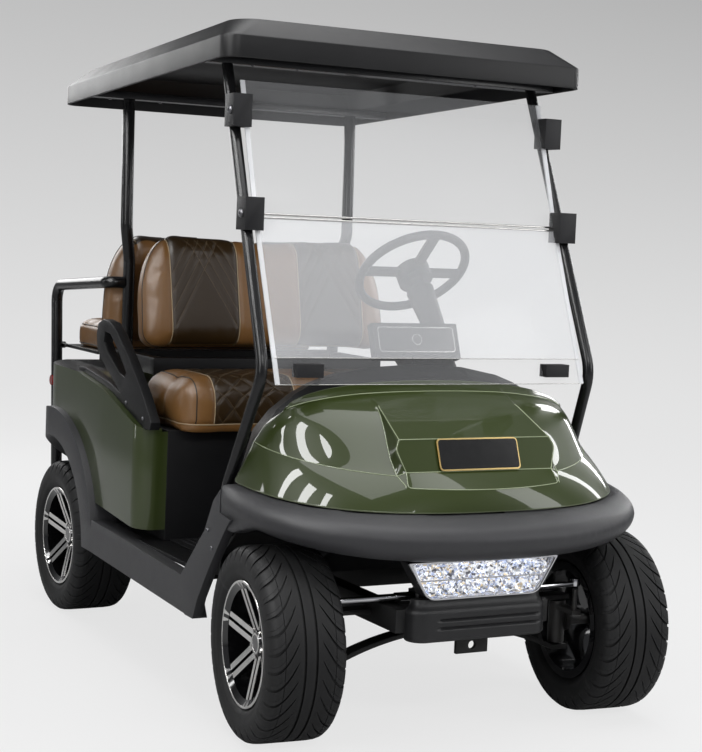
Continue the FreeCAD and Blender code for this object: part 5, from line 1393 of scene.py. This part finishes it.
def crystal_material():
    """Silvered facets painted with blue, white and amber glints, which also glow faintly."""
    material, tree, shader = new_material("lamp_crystal")
    place = tree.nodes.new("ShaderNodeTexCoord")
    cells = node_in(tree, "ShaderNodeTexVoronoi", {"Vector": place.outputs["Object"], "Scale": 150})
    split = node_in(tree, "ShaderNodeSeparateColor", {0: cells.outputs["Color"]})
    ramp = node_in(tree, "ShaderNodeValToRGB", {0: split.outputs[0]})
    ramp.color_ramp.interpolation = "CONSTANT"
    painted_glints = ((0.0, (0.90, 0.92, 0.96)), (0.34, (0.50, 0.58, 0.80)), (0.50, (0.95, 0.95, 0.95)),
             (0.68, (0.30, 0.32, 0.40)), (0.80, (0.80, 0.66, 0.44)), (0.88, (0.10, 0.10, 0.12)))
    ramp.color_ramp.elements[0].color = (*painted_glints[0][1], 1)
    ramp.color_ramp.elements[1].position, ramp.color_ramp.elements[1].color = painted_glints[1][0], (*painted_glints[1][1], 1)
    for position, tone in painted_glints[2:]:
        ramp.color_ramp.elements.new(position).color = (*tone, 1)
    # Each facet cell gets a painted glint colour, and the emission makes these painted glints glow faintly
    # with no light on them.
    fed(tree, shader, {"Base Color": ramp.outputs[0], "Emission Color": ramp.outputs[0],
                       "Emission Strength": 0.42, "Metallic": 1.0, "Roughness": 0.07})
    return material


CRYSTAL = crystal_material()
lamp_rings("lamp_reflector", ((0.0082, -1.1675), (0.0082, -1.1695), (0.0095, -1.1705)), CRYSTAL, False, 35)


def bowl_tree():
    """Geometry nodes that set a reflector bowl at each point, each turned its own way."""
    tree, given = growing_tree("lamp_bowls", Bowl="Object", Seed="Int")
    bowl = node_in(tree, "GeometryNodeObjectInfo", {"Object": given.outputs["Bowl"]})
    turn = node_in(tree, "FunctionNodeRandomValue", {
        "Min": (0, 0, 0), "Max": (0, math.tau, 0), "Seed": given.outputs["Seed"]}, data_type="FLOAT_VECTOR")
    copies = node_in(tree, "GeometryNodeInstanceOnPoints", {
        "Points": given.outputs["Geometry"], "Instance": bowl.outputs["Geometry"],
        "Rotation": turn.outputs[0]})
    return closed_tree(tree, given, copies.outputs[0])


bowl = bmesh.new()
bowl_rings = []
BOWL_LINE = ((0.0222, -1.1890), (0.0160, -1.1790), (0.0085, -1.1725), (0.0045, -1.1745))
for order, (radius, y) in enumerate(BOWL_LINE):
    angles = [math.tau * (k + order / 2) / 8 for k in range(8)]
    bowl_rings.append([bowl.verts.new((radius * math.cos(a), y, radius * math.sin(a))) for a in angles])
for first, second in zip(bowl_rings, bowl_rings[1:]):
    for k in range(8):
        bowl.faces.new((first[k], first[(k + 1) % 8], second[k]))
        bowl.faces.new((second[k], first[(k + 1) % 8], second[(k + 1) % 8]))
tip = bowl.verts.new((0, -1.1795, 0))
for k in range(8):
    bowl.faces.new((bowl_rings[-1][k], bowl_rings[-1][(k + 1) % 8], tip))
bmesh.ops.recalc_face_normals(bowl, faces=bowl.faces)
if sum(face.normal.y for face in bowl.faces) > 0:
    bmesh.ops.reverse_faces(bowl, faces=bowl.faces)
bowl_seed = linked("lamp_bowl_seed", mesh_of(bowl, "lamp_bowl"))
BOWL_PITCH = 0.0405
spots = [((k - 4.5) * BOWL_PITCH, 0.0, 0.4665) for k in range(10)]
spots += [((k - 4) * BOWL_PITCH, 0.0, 0.4245) for k in range(9)]
spots_mesh = bpy.data.meshes.new("lamp_spots")
spots_mesh.from_pydata(spots, [], [])
bowls = grown("lamp_bowls", spots_mesh, bowl_tree(), {"Bowl": bowl_seed, "Seed": 4, "Material": CRYSTAL})
bpy.data.objects.remove(bowl_seed)
shown("lamp_bowls", bowls, "root")
rib = bmesh.new()
rod_between(rib, (-0.196, -1.1885, 0.4455), (0.196, -1.1885, 0.4455), 0.0022)
rib_mesh = mesh_of(rib, "lamp_rib")
rib_mesh.materials.append(BRIGHT)
shown("lamp_rib", rib_mesh, "root", smooth_angle=50)
LENS = finish_material("lamp_lens", (0.92, 0.93, 0.95), (0.86, 0.88, 0.92), 0.04, spread=0.04, mottle=30,
                       coat=0.4)
LENS.node_tree.nodes["Principled BSDF"].inputs["Alpha"].default_value = 0.07
lamp_rings("lamp_lens", ((0.0052, -1.1945), (0.0052, -1.1965), (0.0075, -1.1972)), LENS, False, 35)

# Box below the lamp: one blown moulding in satin black with a rounded shelf on top and two pressed ribs
# across its face, screwed up against the lamp and the frame.
FASCIA_HALF, FASCIA_BACK, FASCIA_FRONT = 0.215, -1.150, -1.200
fascia_levels = [(0.2800, 0.0130), (0.2812, 0.0070), (0.2845, 0.0028), (0.2890, 0.0)]
fascia_levels += [(0.289 + 0.0022 * k, 0.0) for k in range(1, 32)]
fascia_levels += [(0.3630, 0.0012), (0.3690, 0.0052), (0.3745, 0.0110), (0.3840, 0.0150), (0.3940, 0.0170)]
corner = 0.046
path = [(-FASCIA_HALF, FASCIA_BACK)]
for cx, first in ((-FASCIA_HALF + corner, 180), (FASCIA_HALF - corner, 270)):
    bend = [(cx + corner * math.cos(math.radians(first + 10 * k)),
             FASCIA_FRONT + corner + corner * math.sin(math.radians(first + 10 * k))) for k in range(10)]
    if path[-1][0] < 0 and cx > 0:
        x0, x1 = path[-1][0], bend[0][0]
        path += [(x0 + (x1 - x0) * k / 40, FASCIA_FRONT) for k in range(1, 40)]
    path += bend
path.append((FASCIA_HALF, FASCIA_BACK))
fascia = bmesh.new()
fascia_rings = []
for z, inset in fascia_levels:
    ring = []
    for x, y in path:
        core_x = max(min(x, FASCIA_HALF - corner), -FASCIA_HALF + corner)
        core = Vector((core_x, max(y, FASCIA_FRONT + corner)))
        outward = Vector((x, y)) - core
        outward = outward.normalized() if outward.length > 1e-6 else Vector((math.copysign(1, x), 0))
        ends = min(max((0.172 - abs(x - 0.03)) / 0.012, 0), 1)
        ribbed = sum(math.exp(-((z - level) / 0.0034) ** 2) for level in (0.3400, 0.3180))
        press = inset + 0.0060 * ends * min(ribbed, 1) * (1 if y < FASCIA_FRONT + 0.001 else 0)
        ring.append(fascia.verts.new((x - outward.x * press, y - outward.y * press, z)))
    fascia_rings.append(ring)
skinned(fascia, fascia_rings)
fascia.faces.new(fascia_rings[0][::-1])
fascia.faces.new(fascia_rings[-1])
bmesh.ops.recalc_face_normals(fascia, faces=fascia.faces)
fascia_mesh = mesh_of(fascia, "fascia_box")
FASCIA_BLACK = finish_material("fascia_black", (0.012, 0.012, 0.013), (0.018, 0.018, 0.019), 0.36, spread=0.1,
                               mottle=26, grain=(1500, 0.0002), edge=(0.05, 0.05, 0.05), shine=0.4)
fascia_mesh.materials.append(FASCIA_BLACK)
fascia_piece = shown("fascia_box", fascia_mesh, "root", smooth_angle=50)
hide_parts("lower_fascia")

# Lamps and reflectors at the back: red moulded lenses screwed to the body, and a round red reflector
# stuck on the outer side of each guard.
TAIL_RED = finish_material("tail_red", (0.36, 0.010, 0.008), (0.26, 0.006, 0.005), 0.12, spread=0.08,
                           mottle=50, grain=(240, 0.0012), coat=0.5)
softened("tail_lamps", 0.006, TAIL_RED)
reflectors = bmesh.new()
for side in (-1, 1):
    rod_between(reflectors, (side * 0.482, 1.034, 0.770), (side * 0.4905, 1.034, 0.770), 0.019, sides=32)
reflector_edges = [edge for edge in reflectors.edges if edge.calc_face_angle(0) > 1.0]
bmesh.ops.bevel(reflectors, geom=reflector_edges, offset=0.0016, segments=2, affect="EDGES")
reflector_mesh = mesh_of(reflectors, "guard_reflectors")
reflector_mesh.materials.append(TAIL_RED)
shown("guard_reflectors", reflector_mesh, "root", smooth_angle=40)

# Dash panel: a framed satin plate let into the raised middle of the dash, with a bright ring round its
# plain switch.
DASH_SATIN = finish_material("dash_satin", (0.020, 0.020, 0.022), (0.030, 0.030, 0.032), 0.25, mottle=60,
                             coat=0.3)
dash_turn = Matrix.Rotation(math.radians(90 - 19.9), 4, "X")
dash_turn.translation = Vector((0.116, -0.5795, 1.040))
for name, size, corner_size, thick, material in (
        ("dash_frame", (0.262, 0.078), 0.010, 0.0022, BRIGHT),
        ("dash_plate", (0.258, 0.074), 0.009, 0.0026, DASH_SATIN),
        ("dash_ring", (0.036, 0.036), 0.0178, 0.0036, BRIGHT),
        ("dash_switch", (0.032, 0.032), 0.0158, 0.0042, DASH_SATIN)):
    piece = rounded_plate(name, size, corner_size, thick, material, dash_turn)
    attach(piece, "root")

# Fasteners: domed screws with hex sockets, of plated steel, in the legs, roof brackets, hip restraints and
# footplate, and larger ones as the windshield clamps' knobs.
BOLT_STEEL = finish_material("bolt_steel", (0.22, 0.22, 0.23), (0.14, 0.14, 0.15), 0.34, mottle=90,
                             metallic=1.0)


def screw_tree():
    """Geometry nodes that set a screw at each point, along the point's own direction."""
    tree, given = growing_tree("set_screws", Screw="Object", Size="Float")
    screw = node_in(tree, "GeometryNodeObjectInfo", {"Object": given.outputs["Screw"]})
    aim = node_in(tree, "GeometryNodeInputNamedAttribute", {"Name": "aim"}, data_type="FLOAT_VECTOR")
    turn = node_in(tree, "FunctionNodeAlignRotationToVector", {"Vector": aim.outputs["Attribute"]}, axis="Z")
    copies = node_in(tree, "GeometryNodeInstanceOnPoints", {
        "Points": given.outputs["Geometry"], "Instance": screw.outputs["Geometry"],
        "Rotation": turn.outputs[0], "Scale": given.outputs["Size"]})
    return closed_tree(tree, given, copies.outputs[0])


def screw_mesh():
    """A domed screw head one unit in radius, standing on Z 0, with a hex socket."""
    form = bmesh.new()
    angles = [math.tau * k / 12 for k in range(12)]
    rings = [[form.verts.new((r * math.cos(a), r * math.sin(a), z)) for a in angles]
             for r, z in ((1.0, -0.1), (1.0, 0.22), (0.82, 0.44), (0.48, 0.56), (0.42, 0.54), (0.38, 0.26))]
    skinned(form, rings)
    form.faces.new(rings[0][::-1])
    form.faces.new(rings[-1])
    return mesh_of(form, "screw_head")


def screwed(name, size, places):
    """Screws where rays meet the part's own solids, as one piece."""
    points, aims = [], []
    for node, origin, toward in places:
        surface = surface_of(frame["nodes"][node].data)
        hit, normal, _, _ = surface.ray_cast(Vector(origin), Vector(toward))
        points.append(tuple(hit))
        aims.append(normal)
    seats = bpy.data.meshes.new(name + "_seats")
    seats.from_pydata(points, [], [])
    aim = seats.attributes.new("aim", "FLOAT_VECTOR", "POINT")
    aim.data.foreach_set("vector", [value for normal in aims for value in normal])
    head = linked(name + "_head", screw_mesh())
    mesh = grown(name, seats, SCREWS, {"Screw": head, "Size": size, "Material": BOLT_STEEL})
    bpy.data.objects.remove(head)
    return shown(name, mesh, "root", smooth_angle=35)


SCREWS = screw_tree()
places = []
for side in (-1, 1):
    for node, toward, x, spots in (
            ("side_trims", (-side, 0, 0), 1, ((-0.721, 0.520), (-0.753, 0.476))),
            ("hip_restraints", (-side, 0, 0), 1, ((-0.10, 0.757), (0.05, 0.790))),
            ("footplate", (0, 0, -1), 0.32, ((1.06, 0.6), (1.28, 0.6))),
            ("roof_brackets", (0, 0, 1), 0.30, ((-0.55, 1.5),)),
            ("roof_brackets", (0, 0, 1), 0.44, ((-0.55, 1.5),)),
            ("roof_brackets", (0, 0, 1), 0.30, ((0.51, 1.5),)),
            ("roof_brackets", (0, 0, 1), 0.48, ((0.51, 1.5),))):
        places += [(node, (side * x, y, z), toward) for y, z in spots]
screwed("small_screws", 0.0062, places)
knobs = [("windshield_fittings", (side, y, z), (-side, 0, 0))
         for side in (-1, 1) for y, z in ((-0.738, 1.390), (-0.640, 1.673))]
screwed("clamp_knobs", 0.0120, knobs)

# Floor mat ribs: low bars moulded into the rubber mat along the footwell, where boots need a grip; one bar
# repeated across the cart.


def row_tree():
    """Geometry nodes that repeat one piece along X."""
    tree, given = growing_tree("mat_ribs", Count="Int", Spacing="Float")
    step = node_in(tree, "ShaderNodeCombineXYZ", {"X": given.outputs["Spacing"]})
    line = node_in(tree, "GeometryNodeMeshLine", {"Count": given.outputs["Count"],
                                                  "Offset": step.outputs[0]}, mode="OFFSET")
    copies = node_in(tree, "GeometryNodeInstanceOnPoints", {"Points": line.outputs[0],
                                                            "Instance": given.outputs["Geometry"]})
    return closed_tree(tree, given, copies.outputs[0])


mat_low, mat_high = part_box("floor_mat")
rib = bmesh.new()
section = [(-0.005, 0.0), (-0.0042, 0.0022), (-0.0028, 0.0030),
           (0.0028, 0.0030), (0.0042, 0.0022), (0.005, 0.0)]
first_x, rib_foot = mat_low.x + 0.03, mat_high.z - 0.0004
front_end = [rib.verts.new((first_x + x, mat_low.y + 0.02, rib_foot + z)) for x, z in section]
back_end = [rib.verts.new((first_x + x, mat_high.y - 0.02, rib_foot + z)) for x, z in section]
skinned(rib, (back_end, front_end))
rib.faces.new(front_end)
rib.faces.new(back_end[::-1])
bmesh.ops.recalc_face_normals(rib, faces=rib.faces)
ribs = grown("mat_ribs", mesh_of(rib, "mat_rib"), row_tree(),
             {"Count": 39, "Spacing": 0.0232, "Material": CABIN_BLACK})
shown("mat_ribs", ribs, "root", smooth_angle=35)
